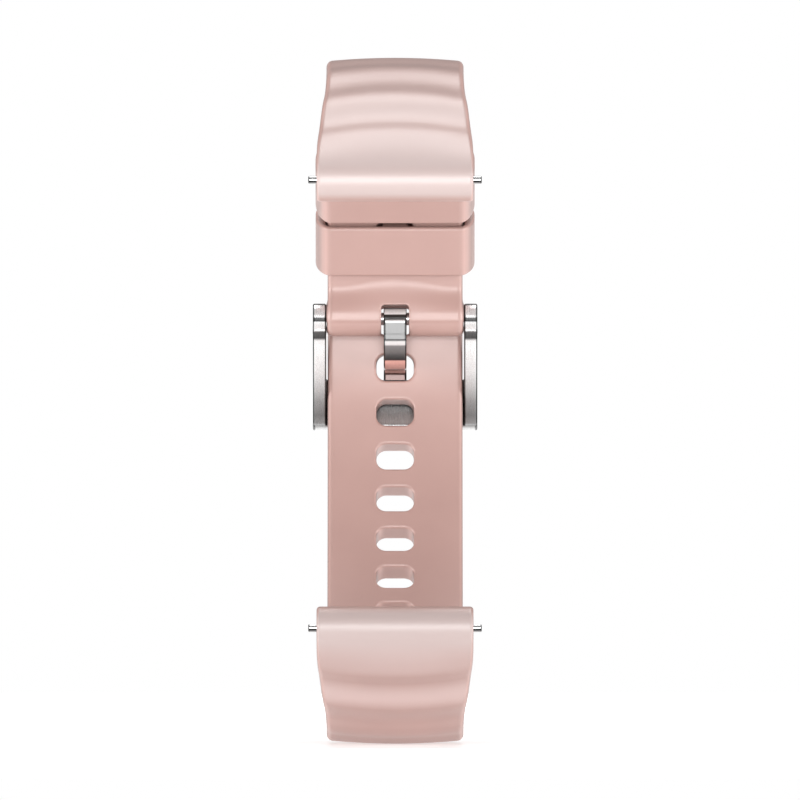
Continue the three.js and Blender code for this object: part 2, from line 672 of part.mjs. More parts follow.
// A compression spring between two pins' shanks, in a tube of the given inside radius.
function spring(halfGap, tubeInside) {
  const wireSides = 5;
  const stepsPerTurn = 8;
  const wire = new THREE.Shape();
  for (let i = 0; i < wireSides; i++) {
    const angle = (2 * Math.PI * i) / wireSides;
    const [x, y] = [SPRING_WIRE * Math.cos(angle), SPRING_WIRE * Math.sin(angle)];
    if (i === 0) wire.moveTo(x, y);
    else wire.lineTo(x, y);
  }
  const half = halfGap - 2 * SPRING_WIRE;
  const path = new Helix(-half, half, tubeInside - 2 * SPRING_WIRE, SPRING_TURNS);
  const options = { steps: SPRING_TURNS * stepsPerTurn, extrudePath: path, bevelEnabled: false };
  return new THREE.ExtrudeGeometry(wire, options);
}

// A tube whose ends are crimped in a little, so that the tips' collars can't leave it.
function barTube(half, radius, lip) {
  const inside = radius - BAR_WALL;
  const outline = [
    [-half, lip],
    [-half, radius],
    [half, radius],
    [half, lip],
    [half - TUBE_CRIMP, lip],
    [half - TUBE_CRIMP, inside],
    [-half + TUBE_CRIMP, inside],
    [-half + TUBE_CRIMP, lip],
  ];
  return ringAlongX(outline);
}

// A pin: a round-nosed tip, and a thicker shank that runs inside the tube. side is -1 or 1.
function barPin({ reach, tubeHalf, shankEnd, shankRadius, tipRadius }, side) {
  const collar = tubeHalf - TUBE_CRIMP - SHANK_PLAY;
  const steps = [
    [shankEnd, shankRadius],
    [collar, shankRadius],
    [collar, tipRadius],
    [reach - TIP_NOSE, tipRadius],
    [reach, tipRadius - TIP_NOSE],
  ];
  const pin = turnedAlongX(steps);
  return side > 0 ? pin : pin.rotateZ(Math.PI);
}

// The quick-release knob on its stem, which stands out along the bar's own +Z.
function releaseKnob() {
  const stemFoot = 0.08;
  const underside = BAR_RADIUS + 0.2;
  const profile = [
    [0, stemFoot],
    [STEM_RADIUS, stemFoot],
    [STEM_RADIUS, underside],
    [KNOB_RADIUS, underside + 0.15],
    [KNOB_RADIUS, KNOB_TOP - 0.15],
    [KNOB_RADIUS - 0.12, KNOB_TOP],
    [0, KNOB_TOP],
  ].map(([r, height]) => new THREE.Vector2(r, height));
  return new THREE.LatheGeometry(profile, 14).rotateX(Math.PI / 2).translate(KNOB_X, 0, 0);
}

// A spring bar in a strap's lug: tube, crimped-in fixed tip, sliding tip with its release knob, spring.
function springBar(name, path) {
  const { y, z, outward } = path.at(0);
  const bar = new THREE.Group();
  bar.position.set(0, y, z);
  // The group's own +Z points to the wrist side, where the knob stands out.
  bar.rotation.x = Math.atan2(outward[0], -outward[1]);
  const inside = BAR_RADIUS - BAR_WALL;
  const pin = {
    reach: TIP_REACH,
    tubeHalf: BAR_HALF,
    shankEnd: SHANK_END,
    shankRadius: inside - SHANK_PLAY,
    tipRadius: TIP_RADIUS,
  };
  const slotLength = RELEASE_TRAVEL + 2 * STEM_SLOT_HALF;
  const slot = new THREE.BoxGeometry(slotLength, 2 * STEM_SLOT_HALF, 2 * BAR_RADIUS);
  slot.translate(KNOB_X - RELEASE_TRAVEL / 2, 0, BAR_RADIUS);
  const stemHoleRadius = STEM_RADIUS + SHANK_PLAY;
  const stemHole = new THREE.CylinderGeometry(stemHoleRadius, stemHoleRadius, 1, 12)
    .rotateX(Math.PI / 2)
    .translate(KNOB_X, 0, 0.5);
  const tube = barTube(BAR_HALF, BAR_RADIUS, TIP_RADIUS + SHANK_PLAY);
  add(bar, name + "_tube", cut(tube, [slot]), brushedSteel());
  add(bar, name + "_fixed_tip", barPin(pin, -1), chrome());
  add(bar, name + "_sliding_tip", cut(barPin(pin, 1), [stemHole]), chrome());
  add(bar, name + "_release_knob", releaseKnob(), brushedSteel());
  add(bar, name + "_spring", spring(SHANK_END, inside), springSteel());
  band.add(bar);
}

// The bar that the frame and the tongue turn on: a tube with a sprung tip at each end.
function buckleBarPieces() {
  const bar = new THREE.Group();
  bar.position.set(0, buckleBar.y, buckleBar.z);
  const inside = BUCKLE_BAR_RADIUS - BAR_WALL;
  const pin = {
    reach: FRAME_INSIDE / 2 + BUCKLE_TIP_LENGTH,
    tubeHalf: FRAME_INSIDE / 2 - 0.15,
    shankEnd: BUCKLE_SHANK_END,
    shankRadius: inside - 0.03,
    tipRadius: inside - 0.13,
  };
  const tube = barTube(pin.tubeHalf, BUCKLE_BAR_RADIUS, pin.tipRadius + SHANK_PLAY);
  add(bar, "buckle_bar_tube", tube, brushedSteel());
  add(bar, "buckle_bar_tip_left", barPin(pin, -1), chrome());
  add(bar, "buckle_bar_tip_right", barPin(pin, 1), chrome());
  add(bar, "buckle_bar_spring", spring(pin.shankEnd, inside), springSteel());
  band.add(bar);
}

// ---------------------------------------------------------------- the assembly
add(band, "short_strap", shortStrap(), silicone());
add(band, "long_strap", longStrap(), silicone());
add(band, "fixed_keeper", fixedKeeper(), silicone());
add(band, "free_keeper", keeper(freeKeeperAngle), silicone());
add(band, "buckle_frame", buckleFrame(), brushedSteel());
add(band, "buckle_tongue", buckleTongue(), chrome());
buckleBarPieces();
springBar("upper_bar", shortPath);
springBar("lower_bar", longPath);

export default band;
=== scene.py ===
import math

import bpy
import numpy as np
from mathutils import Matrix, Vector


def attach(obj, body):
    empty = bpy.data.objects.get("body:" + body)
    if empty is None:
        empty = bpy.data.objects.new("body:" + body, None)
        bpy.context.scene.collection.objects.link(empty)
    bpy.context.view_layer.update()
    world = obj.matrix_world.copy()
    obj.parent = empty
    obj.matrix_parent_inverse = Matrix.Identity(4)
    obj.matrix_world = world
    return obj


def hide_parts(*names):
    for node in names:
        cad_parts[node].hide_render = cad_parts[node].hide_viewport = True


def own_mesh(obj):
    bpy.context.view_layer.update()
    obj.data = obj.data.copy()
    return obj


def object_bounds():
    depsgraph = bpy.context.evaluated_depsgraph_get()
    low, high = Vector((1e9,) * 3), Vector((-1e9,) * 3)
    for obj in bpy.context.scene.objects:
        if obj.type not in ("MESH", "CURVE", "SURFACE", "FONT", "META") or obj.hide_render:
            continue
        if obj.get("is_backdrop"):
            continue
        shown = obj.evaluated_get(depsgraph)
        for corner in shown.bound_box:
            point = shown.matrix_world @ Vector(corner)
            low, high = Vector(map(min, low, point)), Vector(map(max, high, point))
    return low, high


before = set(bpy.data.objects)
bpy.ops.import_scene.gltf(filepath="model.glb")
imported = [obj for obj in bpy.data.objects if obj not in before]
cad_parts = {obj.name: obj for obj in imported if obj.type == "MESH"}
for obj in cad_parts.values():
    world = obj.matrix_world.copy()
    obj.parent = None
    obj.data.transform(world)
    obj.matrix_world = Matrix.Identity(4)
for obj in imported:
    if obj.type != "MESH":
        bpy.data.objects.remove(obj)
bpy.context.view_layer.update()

# ---------------------------------------------------------------- driving dimensions, as in the part
MM = 0.001
LUG_WIDTH = 16.0  # strap width at the tracker
BAR_SPACING = 45.7  # between the axes of the two spring bars
STRAP_WIDTH = 14.1  # width away from the lugs
TAPER_START = 1.0  # along the strap from the spring bar: where the width starts and stops tapering
TAPER_END = 19.0
THINNING_LENGTH = 10.0  # over which the lug thins to the plain strap
SHORT_THICKNESS = 2.5
LONG_THICKNESS = 2.4
STRAP_GAP = 0.2  # between the two straps where they lie on each other
NOSE_RADIUS = 2.2  # the strap's round end about the spring bar
EDGE_RADIUS = 0.6
LUG_EDGE_RADIUS = 0.35
EDGE_GROWTH = 8.0  # over which the edge goes from the lug's radius to the strap's
CROWN = 0.35  # how far the outer face's middle stands above its edges
CROWN_RISE = 5.0
CROWN_AT_BACK = 0.3  # share of the crown that is left round the back
CROWN_FADE_START = 30.0
CROWN_FADE_END = 45.0

# The loop's side profile: leans and headings in degrees, radii in millimetres
SHORT_LEAN = 38.0
LONG_LEAN = 40.4
SHORT_LUG_RADIUS = 30.0
LONG_LUG_RADIUS = 31.0
UPPER_BACK_RADIUS = 55.0
UPPER_BACK_END = 117.0
BACK_RADIUS = 24.0
LOWER_BOTTOM_END = 137.0
LOWER_BACK_RADIUS = 51.0
LOWER_BACK_END = 164.0
SHORT_END = 175.4
TAIL_END = 234.0
TAIL_ROUNDING = 0.62  # radius of the tail's end as a share of the strap's width

# Waves of the outer face near the lugs, bent away from the lug at the middle of the strap
WAVE_PITCH = 7.5
WAVE_DEPTH = 0.36
WAVE_ARCH = 0.9
WAVES_RISE = (2.5, 7.0)
WAVES_FADE = (19.0, 25.0)

# Holes
HOLE_PITCH = 5.0
HOLE_WIDTH = 3.9
HOLE_HEIGHT = 2.9
HOLE_CORNER = 1.05
TONGUE_HOLE_ANGLE = -7.2
HOLES_BEFORE_TONGUE = 9
HOLES_AFTER_TONGUE = 3

# Spring bars
BAR_RADIUS = 0.75
BAR_WALL = 0.2
TIP_RADIUS = 0.4
TIP_REACH = 8.85
BAR_HALF = 7.35
BORE_RADIUS = 0.95
TUBE_CRIMP = 0.25
SHANK_END = 4.3  # from the middle to where the pins' shanks start
PIN_PLAY = 0.05  # between a pin and the tube
RELEASE_TRAVEL = 1.1
KNOB_X = 5.6
KNOB_RADIUS = 0.6
KNOB_TOP = 2.35  # from the bar's axis
KNOB_FOOT = 0.35  # from the tube to the knob's full width
NOTCH_HALF = 1.1
NOTCH_CORNER = 0.3
STEM_RADIUS = 0.24
STEM_FOOT = 0.08  # from the bar's axis
STEM_LENGTH = 0.2  # outside the tube
SPRING_WIRE = 0.08
SPRING_TURNS = 9
SPRING_GAP = 0.1  # from the middle to each half of the buckle bar's spring

# Buckle
FRAME_WIDTH = 17.2
FRAME_INSIDE = 14.4
EAR_RADIUS = 1.6
BUCKLE_BAR_RADIUS = 0.65
BAR_CLEARANCE = 0.12
BUCKLE_BAR_PLAY = 0.15  # between the tube's end and an ear
BUCKLE_SHANK_END = 4.6
BUCKLE_TIP_LENGTH = 0.85
BUCKLE_SHANK_PLAY = 0.03  # between a tip's shank and the tube
BUCKLE_LIP = 0.08  # how far the tube's ends turn in
BUCKLE_TIP_STEP = 0.13  # from the tube's inside to a tip
SOCKET_DEPTH = 1.0
SOCKET_RADIUS = 0.42
END_RADIUS = 1.85
END_OVERHANG = 0.1
ROLL_START = 3.7  # before the short strap's end: where its inner face starts to bulge, and where it is full
ROLL_FULL = 0.7
ROLL_ARCH = 0.9  # how much earlier the bulge starts at the strap's middle
ROLL_ARCH_HALF = 6.0  # half of the arch's width
SLOT_WIDTH = 2.9
SLOT_RISE = 1.75
SLOT_CORNER = 0.4
TONGUE_EYE_WALL = 0.4
TONGUE_WIDTH = 2.4
TONGUE_THICKNESS = 0.8
PLATE_THICKNESS = 1.2
PLATE_CLEARANCE = 0.2  # from the long strap's outer face
PLATE_TOP = 2.35
PLATE_BOTTOM = -2.8

# Keepers
KEEPER_LENGTH = 5.5
KEEPER_WIDTH = 16.6
KEEPER_WALL = 0.75
KEEPER_CLEARANCE = 0.4
KEEPER_GAP = 0.5
KEEPER_CORNER = (1.7, 3.2)
CAVITY_CORNER = (0.6, 0.8)
FIXED_KEEPER_ANGLE = 24.0
PEG_WIDTH = 2.7
PEG_HEIGHT = 1.4
PEG_OFFSET = 1.9
PEG_DEPTH = 0.8  # as a share of the short strap's thickness
PEG_SINK = 0.1  # of the peg's foot in the keeper's wall

# Soft edges of the fine shapes
RIM_ROUNDING = 0.28
CUT_ROUNDING = 0.15
SLOT_ROUNDING = 0.22
KEEPER_EDGE = 0.3
STEEL_EDGE = 0.2
PIN_EDGE = 0.16
KNOB_EDGE = 0.14
TUBE_EDGE = 0.08


# ---------------------------------------------------------------- fields: distances, negative inside
def smooth(value, low, high):
    share = np.clip((value - low) / (high - low), 0, 1)
    return share * share * (3 - 2 * share)


def mix(a, b, share):
    return a + (b - a) * share


def both(a, b, radius):
    """Where two fields overlap, with the edge between them rounded."""
    corner = np.hypot(np.maximum(a + radius, 0), np.maximum(b + radius, 0))
    return np.minimum(np.maximum(a, b), -radius) + corner


def either(a, b, radius):
    return -both(-a, -b, radius)


def without(a, b, radius):
    return both(a, -b, radius)


def rounded_box(u, v, half_u, half_v, radius):
    du = np.abs(u) - half_u + radius
    dv = np.abs(v) - half_v + radius
    return np.hypot(np.maximum(du, 0), np.maximum(dv, 0)) + np.minimum(np.maximum(du, dv), 0) - radius


def hole_outline(x, along):
    return rounded_box(x, along, HOLE_WIDTH / 2, HOLE_HEIGHT / 2, HOLE_CORNER)


def elliptic_box(u, v, half_u, half_v, corner_u, corner_v):
    """A rectangle whose corners are quarters of an ellipse."""
    du = np.maximum(np.abs(u) - half_u + corner_u, 0) / corner_u
    dv = np.maximum(np.abs(v) - half_v + corner_v, 0) / corner_v
    size = np.hypot(du, dv)
    slope = np.hypot(du / corner_u, dv / corner_v)
    return np.where(size > 1e-4, size * (size - 1) / np.maximum(slope, 1e-9), -min(corner_u, corner_v))


def segment_distance(y, z, start, end):
    ey, ez = end[0] - start[0], end[1] - start[1]
    share = np.clip(((y - start[0]) * ey + (z - start[1]) * ez) / (ey * ey + ez * ez), 0, 1)
    return np.hypot(y - start[0] - share * ey, z - start[1] - share * ez)


def line_distance(y, z, points):
    """Distance to an open line."""
    nearest = np.full(np.broadcast(y, z).shape, np.inf)
    for start, end in zip(points, points[1:]):
        nearest = np.minimum(nearest, segment_distance(y, z, start, end))
    return nearest


def polygon(y, z, points):
    """Distance to a closed outline."""
    inside = np.zeros(np.broadcast(y, z).shape, bool)
    for (y0, z0), (y1, z1) in zip(points, points[1:] + points[:1]):
        if z0 != z1:
            crosses = (z0 > z) != (z1 > z)
            inside ^= crosses & (y < y0 + (z - z0) * (y1 - y0) / (z1 - z0))
    nearest = line_distance(y, z, [*points, points[0]])
    return np.where(inside, -nearest, nearest)


# ---------------------------------------------------------------- meshes
def net(axes, values):
    """Surface net: a vertex in each cell that the surface crosses, a quad round each crossed grid edge."""
    cells = tuple(n - 1 for n in values.shape)
    rings, points = [], []
    for axis in range(3):
        u, v = (axis + 1) % 3, (axis + 2) % 3
        low = np.delete(values, -1, axis)
        high = np.delete(values, 0, axis)
        crossed = np.argwhere((low < 0) != (high < 0))
        start = low[tuple(crossed.T)]
        end = high[tuple(crossed.T)]
        point = np.stack([axes[d][crossed[:, d]] for d in range(3)], 1)
        step = axes[axis][crossed[:, axis] + 1] - axes[axis][crossed[:, axis]]
        point[:, axis] += step * start / (start - end)
        corners = []
        for du, dv in ((0, 0), (-1, 0), (-1, -1), (0, -1)):
            cell = crossed.copy()
            cell[:, u] += du
            cell[:, v] += dv
            corners.append(np.ravel_multi_index(cell.T, cells))
        ring = np.stack(corners, 1)
        outward = start < 0
        rings.append(np.where(outward[:, None], ring, ring[:, ::-1]))
        points.append(np.repeat(point, 4, 0))
    rings = np.concatenate(rings)
    points = np.concatenate(points)
    index = np.unique(rings.ravel(), return_inverse=True)[1]
    count = np.bincount(index)
    middle = np.stack([np.bincount(index, points[:, d]) / count for d in range(3)], 1)
    return middle, index.reshape(-1, 4)


def slope_of(field, points, step=0.01):
    """The field's slope at each point, from its values a small step to either side."""
    slopes = []
    for d in range(3):
        shift = np.zeros(3)
        shift[d] = step
        slopes.append((field(*(points + shift).T) - field(*(points - shift).T)) / (2 * step))
    return np.stack(slopes, 1)


CARVE_ROUNDS = 3
LONGEST_MOVE = 0.1
LEAST_SLOPE_SQUARED = 0.05


def carve(field, axes):
    """Vertices on the field's surface, its quads and its slope there. The net's vertices are moved down the
    slope until they lie on the surface."""
    grid = np.meshgrid(*axes, indexing="ij", sparse=True)
    values = np.broadcast_to(field(*grid), [len(a) for a in axes])
    points, quads = net(axes, values)
    for _ in range(CARVE_ROUNDS):
        slope = slope_of(field, points)
        steepness = np.maximum((slope**2).sum(1), LEAST_SLOPE_SQUARED)
        move = slope * (field(*points.T) / steepness)[:, None]
        points = points - np.clip(move, -LONGEST_MOVE, LONGEST_MOVE)
    return points, quads, slope_of(field, points)


def steps(*parts):
    """A grid axis in stretches: each part is [start, end, step]."""
    values = [np.linspace(a, b, max(2, round((b - a) / step) + 1))[:-1] for a, b, step in parts]
    return np.concatenate([*values, [parts[-1][1]]])


def mirrored(*parts):
    """The same stretches either way from the middle."""
    half = steps(*parts)
    return np.concatenate([-half[:0:-1], half])


SHARP_ANGLE = math.radians(38)  # between faces that don't shade into each other


def make_piece(name, points, faces, material, body, node=None, normals=None):
    """A shown piece from points in millimetres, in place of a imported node, mostly the one of its own name."""
    mesh = bpy.data.meshes.new(name)
    mesh.from_pydata((points * MM).tolist(), [], [list(map(int, face)) for face in faces])
    mesh.materials.append(material)
    mesh.shade_smooth()
    if normals is None:
        mesh.set_sharp_from_angle(angle=SHARP_ANGLE)
    else:
        mesh.normals_split_custom_set_from_vertices(normals.tolist())
    piece = bpy.data.objects.new(name + "_fine", mesh)
    bpy.context.scene.collection.objects.link(piece)
    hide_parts(node or name)
    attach(piece, body)
    return piece


AXIS_X = np.array([1.0, 0, 0])


def unit(vectors):
    """The same directions with a length of one."""
    return vectors / np.maximum(np.linalg.norm(vectors, axis=1, keepdims=True), 1e-12)


# ---------------------------------------------------------------- the loop's side profile
class Path:
    """Arcs and straights in the YZ plane. Heading 0 runs along +Z and 90 along +Y; side -1 runs down."""

    def __init__(self, heading, stretches, side):
        self.side = side
        self.pieces = []
        y, z, s = 0.0, BAR_SPACING / 2, 0.0
        angle = math.radians(heading)
        for radius, end in stretches:
            if radius is None:
                self.pieces.append((s, y, z, angle, None))
                y += end * math.sin(angle)
                z += end * math.cos(angle)
                s += end
                continue
            self.pieces.append((s, y, z, angle, radius))
            turn = math.radians(end) - angle
            y, z = self._arc(y, z, angle, radius, turn)
            s += radius * turn
            angle += turn
        self.length = s
        _, y0, z0, a0, radius = self.pieces[-1]
        self.centre = (y0 + radius * math.cos(a0), z0 - radius * math.sin(a0))

    @staticmethod
    def _arc(y, z, angle, radius, turn):
        centre_y = y + radius * np.cos(angle)
        centre_z = z - radius * np.sin(angle)
        return centre_y - radius * np.cos(angle + turn), centre_z + radius * np.sin(angle + turn)

    def place(self, points, slopes=None):
        """(x, s, out) points in the frame, and their slopes turned the same way."""
        x, s, out = points.T
        y, z, angle = np.zeros(len(s)), np.zeros(len(s)), np.zeros(len(s))
        stretch = np.ones(len(s))
        for number, (s0, y0, z0, a0, radius) in enumerate(self.pieces):
            chosen = s >= s0 if number else np.ones(len(s), bool)
            along = s[chosen] - s0
            straight = (along < 0) if radius else np.ones(len(along), bool)
            turn = np.where(straight, 0, along / (radius or 1))
            arc_y, arc_z = self._arc(y0, z0, a0, radius or 1, turn)
            y[chosen] = np.where(straight, y0 + along * math.sin(a0), arc_y)
            z[chosen] = np.where(straight, z0 + along * math.cos(a0), arc_z)
            angle[chosen] = a0 + turn
            stretch[chosen] = np.where(straight, 1, 1 + out[chosen] / (radius or 1))
        out_y, out_z = -np.cos(angle), np.sin(angle)
        placed = np.stack([x, y + out * out_y, self.side * (z + out * out_z)], 1)
        if slopes is None:
            return placed
        gx, gs, gn = slopes.T
        gs = gs / stretch
        turned_y = gn * out_y + gs * np.sin(angle)
        turned_z = self.side * (gn * out_z + gs * np.cos(angle))
        return placed, unit(np.stack([gx, turned_y, turned_z], 1))


short_path = Path(
    SHORT_LEAN,
    [(SHORT_LUG_RADIUS, 90), (UPPER_BACK_RADIUS, UPPER_BACK_END), (BACK_RADIUS, SHORT_END)],
    1,
)
back_y, back_z = short_path.centre
long_back_radius = BACK_RADIUS + (SHORT_THICKNESS + LONG_THICKNESS) / 2 + STRAP_GAP


def lower_chain():
    """The bottom arc's radius and the straight after it, which make the last arc's centre the upper one's."""

    def sin(degrees):
        return math.sin(math.radians(degrees))

    def cos(degrees):
        return math.cos(math.radians(degrees))

    bottom_y = LONG_LUG_RADIUS * cos(LONG_LEAN)
    bottom_z = BAR_SPACING / 2 + LONG_LUG_RADIUS * (1 - sin(LONG_LEAN))
    last = LOWER_BACK_RADIUS - long_back_radius
    need_y = back_y - bottom_y - LOWER_BACK_RADIUS * cos(LOWER_BOTTOM_END) + last * cos(LOWER_BACK_END)
    need_z = -back_z - bottom_z + LOWER_BACK_RADIUS * sin(LOWER_BOTTOM_END) - last * sin(LOWER_BACK_END)
    row_y = [-cos(LOWER_BOTTOM_END), sin(LOWER_BOTTOM_END)]
    row_z = [sin(LOWER_BOTTOM_END) - 1, cos(LOWER_BOTTOM_END)]
    return np.linalg.solve([row_y, row_z], [need_y, need_z])


bottom_radius, bottom_straight = lower_chain()
long_path = Path(
    LONG_LEAN,
    [
        (LONG_LUG_RADIUS, 90),
        (bottom_radius, LOWER_BOTTOM_END),
        (None, bottom_straight),
        (LOWER_BACK_RADIUS, LOWER_BACK_END),
        (long_back_radius, TAIL_END),
    ],
    -1,
)


def back_point(radius, degrees):
    """The (y, z) at a radius from the centre of the loop's back, and at an angle above its level."""
    angle = math.radians(degrees)
    return back_y + radius * math.cos(angle), back_z + radius * math.sin(angle)


bar_y, bar_z = back_point(BACK_RADIUS + SHORT_THICKNESS / 2 - END_RADIUS, 180 - SHORT_END)


# ---------------------------------------------------------------- materials
class Look:
    """A node material and short ways to add to it. Values pass between the steps as node outputs."""

    def __init__(self, name):
        self.material = bpy.data.materials.new(name)
        self.material.use_nodes = True
        self.nodes = self.material.node_tree.nodes
        self.links = self.material.node_tree.links
        self.inputs = self.nodes["Principled BSDF"].inputs

    def coordinates(self, kind, stretch=None):
        """The object's own coordinates ("Object") or its facing ("Normal")."""
        output = self.nodes.new("ShaderNodeTexCoord").outputs[kind]
        if stretch is None:
            return output
        mapping = self.nodes.new("ShaderNodeMapping")
        mapping.inputs["Scale"].default_value = stretch
        self.links.new(output, mapping.inputs["Vector"])
        return mapping.outputs["Vector"]

    def along(self, kind, axis):
        split = self.nodes.new("ShaderNodeSeparateXYZ")
        self.links.new(self.coordinates(kind), split.inputs["Vector"])
        return split.outputs[axis]

    def noise(self, scale, detail=3.0, stretch=(1, 1, 1)):
        """Noise whose features are 1/scale metres in size."""
        texture = self.nodes.new("ShaderNodeTexNoise")
        texture.inputs["Scale"].default_value = 1.0
        texture.inputs["Detail"].default_value = detail
        place = self.coordinates("Object", [scale * k for k in stretch])
        self.links.new(place, texture.inputs["Vector"])
        return texture.outputs["Fac"]

    def calculated(self, operation, *values):
        node = self.nodes.new("ShaderNodeMath")
        node.operation = operation
        for value, socket in zip(values, node.inputs):
            self.links.new(value, socket)
        return node.outputs["Value"]

    def ranged(self, value, start, end, first=0.0, last=1.0):
        """The first result up to the start value, the last one from the end value on."""
        node = self.nodes.new("ShaderNodeMapRange")
        limits = {"From Min": start, "From Max": end, "To Min": first, "To Max": last}
        for name, limit in limits.items():
            node.inputs[name].default_value = limit
        self.links.new(value, node.inputs["Value"])
        return node.outputs["Result"]

    def ramp(self, value, stops):
        """Greys or colours at the given positions from 0 to 1."""
        node = self.nodes.new("ShaderNodeValToRGB")
        fill_ramp(node.color_ramp.elements, stops)
        self.links.new(value, node.inputs["Fac"])
        return node.outputs["Color"]

    def blend(self, kind, a, b, factor=None):
        node = self.nodes.new("ShaderNodeMix")
        node.data_type = "RGBA"
        node.blend_type = kind
        node.inputs["Factor"].default_value = 1.0
        if factor is not None:
            self.links.new(factor, node.inputs["Factor"])
        for colour, name in ((a, "A_Color"), (b, "B_Color")):
            self.links.new(colour, next(socket for socket in node.inputs if socket.identifier == name))
        return next(socket for socket in node.outputs if socket.identifier == "Result_Color")

    def relief(self, height, depth, before=None):
        """Bumps of the given depth in metres, on top of those before."""
        node = self.nodes.new("ShaderNodeBump")
        node.inputs["Strength"].default_value = 1.0
        node.inputs["Distance"].default_value = depth
        self.links.new(height, node.inputs["Height"])
        if before is not None:
            self.links.new(before, node.inputs["Normal"])
        return node.outputs["Normal"]

    def set(self, **values):
        """Give the shader's inputs a value, or the output of a node."""
        for key, value in values.items():
            socket = self.inputs[key.replace("_", " ")]
            if isinstance(value, bpy.types.NodeSocket):
                self.links.new(value, socket)
            else:
                socket.default_value = value


def fill_ramp(elements, stops):
    while len(elements) < len(stops):
        elements.new(0.5)
    for element, (position, colour) in zip(elements, stops):
        element.position = position
        element.color = (*colour, 1) if isinstance(colour, tuple) else (colour, colour, colour, 1)


# Where noise, which seldom reaches 0 or 1, takes its lowest and highest tone
NOISE_LOW = 0.3
NOISE_HIGH = 0.7

DUSTY_PINK = ((0.485, 0.300, 0.266), (0.510, 0.318, 0.282))
PAINTED_HIGHLIGHT_UPPER = (0.52, 0.410, 0.39)  # painted highlight on the lugs' rounded fronts
PAINTED_HIGHLIGHT_LOWEST = (0.86, 0.68, 0.65)  # the same painted highlight, brighter at the foot of the lower lug
# Painted light and shade of a soft edge by how far it faces sideways: a light line beside a dark one
PAINTED_EDGE_LINES = [(0.0, 0.87), (0.3, 0.88), (0.6, 1.02), (0.8, 0.9), (0.93, 0.6), (1.0, 0.72)]


def silicone_material():
    """Dusty pink silicone with a painted highlight on the lugs' rounded fronts. Along the soft side edges a
    painted light line runs beside a painted dark line, as in a studio."""
    look = Look("silicone")
    mottle = look.ramp(look.noise(180), [(NOISE_LOW, DUSTY_PINK[0]), (NOISE_HIGH, DUSTY_PINK[1])])
    low_down = look.ranged(look.along("Object", "Z"), -0.023, -0.032)
    # A painted highlight on the lugs' rounded fronts, where they face the front
    painted_highlight = look.ramp(low_down, [(0.0, PAINTED_HIGHLIGHT_UPPER), (1.0, PAINTED_HIGHLIGHT_LOWEST)])
    near_front = look.ranged(look.along("Object", "Y"), 0.035, 0.002)
    to_front = look.ranged(look.along("Normal", "Y"), -0.42, -0.75)
    tone = look.blend("MIX", mottle, painted_highlight, look.calculated("MULTIPLY", near_front, to_front))
    sideways = look.calculated("ABSOLUTE", look.along("Normal", "X"))
    grain = look.relief(look.noise(14000, 2), 0.0000022)
    look.set(
        # Painted light line and dark line along the soft side edges
        Base_Color=look.blend("MULTIPLY", tone, look.ramp(sideways, PAINTED_EDGE_LINES)),
        Roughness=look.ramp(look.noise(9000), [(NOISE_LOW, 0.36), (NOISE_HIGH, 0.46)]),
        Normal=look.relief(look.noise(1500), 0.000006, grain),
        Specular_IOR_Level=0.8,
        Coat_Weight=0.25,
        Coat_Roughness=0.45,
    )
    return look.material


def steel_material(name, low, high, rough, lines, depth):
    """Steel with fine drawn lines that run round or down the piece."""
    look = Look(name)
    drawn = look.noise(1, 3, lines)
    look.set(
        Metallic=1.0,
        Base_Color=look.ramp(drawn, [(NOISE_LOW, low), (NOISE_HIGH, high)]),
        Roughness=look.ramp(drawn, [(NOISE_LOW, rough[0]), (NOISE_HIGH, rough[1])]),
        Normal=look.relief(drawn, depth),
    )
    return look.material


# Painted dark reflection line on a polished edge by how far it faces sideways, and tone of what faces away from
# the front, by height
PAINTED_DARK_EDGE = [(0.15, 1), (0.45, 0.06), (0.9, 0.08), (0.99, 0.7)]
PLAIN_STEEL = [(0, 0.72), (1, 0.78)]


def painted_reflection(look, low, high, bands, middle_bands):
    """Painted reflections: the light and dark bands that the front of a polished piece would mirror, painted by
    height in millimetres, and a painted dark line along its rounded side edges. middle_bands are for what lies
    between a buckle's rails."""
    share = look.ranged(look.along("Object", "Z"), low * MM, high * MM)

    def banded(heights):
        return look.ramp(share, [((z - low) / (high - low), tone) for z, tone in heights])

    # Painted reflection bands by height
    front = banded(bands)
    if middle_bands:
        aside = look.calculated("ABSOLUTE", look.along("Object", "X"))
        half = FRAME_INSIDE / 2 * MM
        front = look.blend("MIX", banded(middle_bands), front, look.ranged(aside, 0.96 * half, 0.99 * half))
    toward = look.ranged(look.along("Normal", "Y"), 0.05, -0.3)
    sideways = look.calculated("ABSOLUTE", look.along("Normal", "X"))
    tone = look.blend("MIX", look.ramp(share, PLAIN_STEEL), front, toward)
    return look.blend("MULTIPLY", tone, look.ramp(sideways, PAINTED_DARK_EDGE))


def steel_with_painted_reflection(name, low, high, bands, rough, lines, depth, metallic=1.0, middle_bands=None):
    """Steel with the studio's dark and light reflection bands painted into its colour."""
    look = Look(name)
    fine = look.noise(1, 3, lines)
    grain = look.ramp(fine, [(NOISE_LOW, 0.93), (NOISE_HIGH, 1.0)])
    look.set(
        Metallic=metallic,
        Base_Color=look.blend("MULTIPLY", grain, painted_reflection(look, low, high, bands, middle_bands)),
        Roughness=look.ramp(fine, [(NOISE_LOW, rough[0]), (NOISE_HIGH, rough[1])]),
        Normal=look.relief(fine, depth),
    )
    return look.material


# Painted reflection bands of a polished pin, from its underside to its top, by height as a share of its radius
PIN_PAINTED_REFLECTION = [
    (-1, 0.5),
    (-0.76, 0.35),
    (-0.52, 0.03),
    (-0.24, 0.05),
    (0, 0.55),
    (0.28, 1),
    (0.72, 0.8),
    (0.94, 0.1),
]
POLISHED = {"rough": (0.08, 0.14), "lines": (6000, 2500, 2500), "depth": 0.0000001}


def pin_material(name, centre):
    bands = [(centre + share * TIP_RADIUS, grey) for share, grey in PIN_PAINTED_REFLECTION]
    return steel_with_painted_reflection(name, centre - TIP_RADIUS, centre + TIP_RADIUS, bands, **POLISHED)
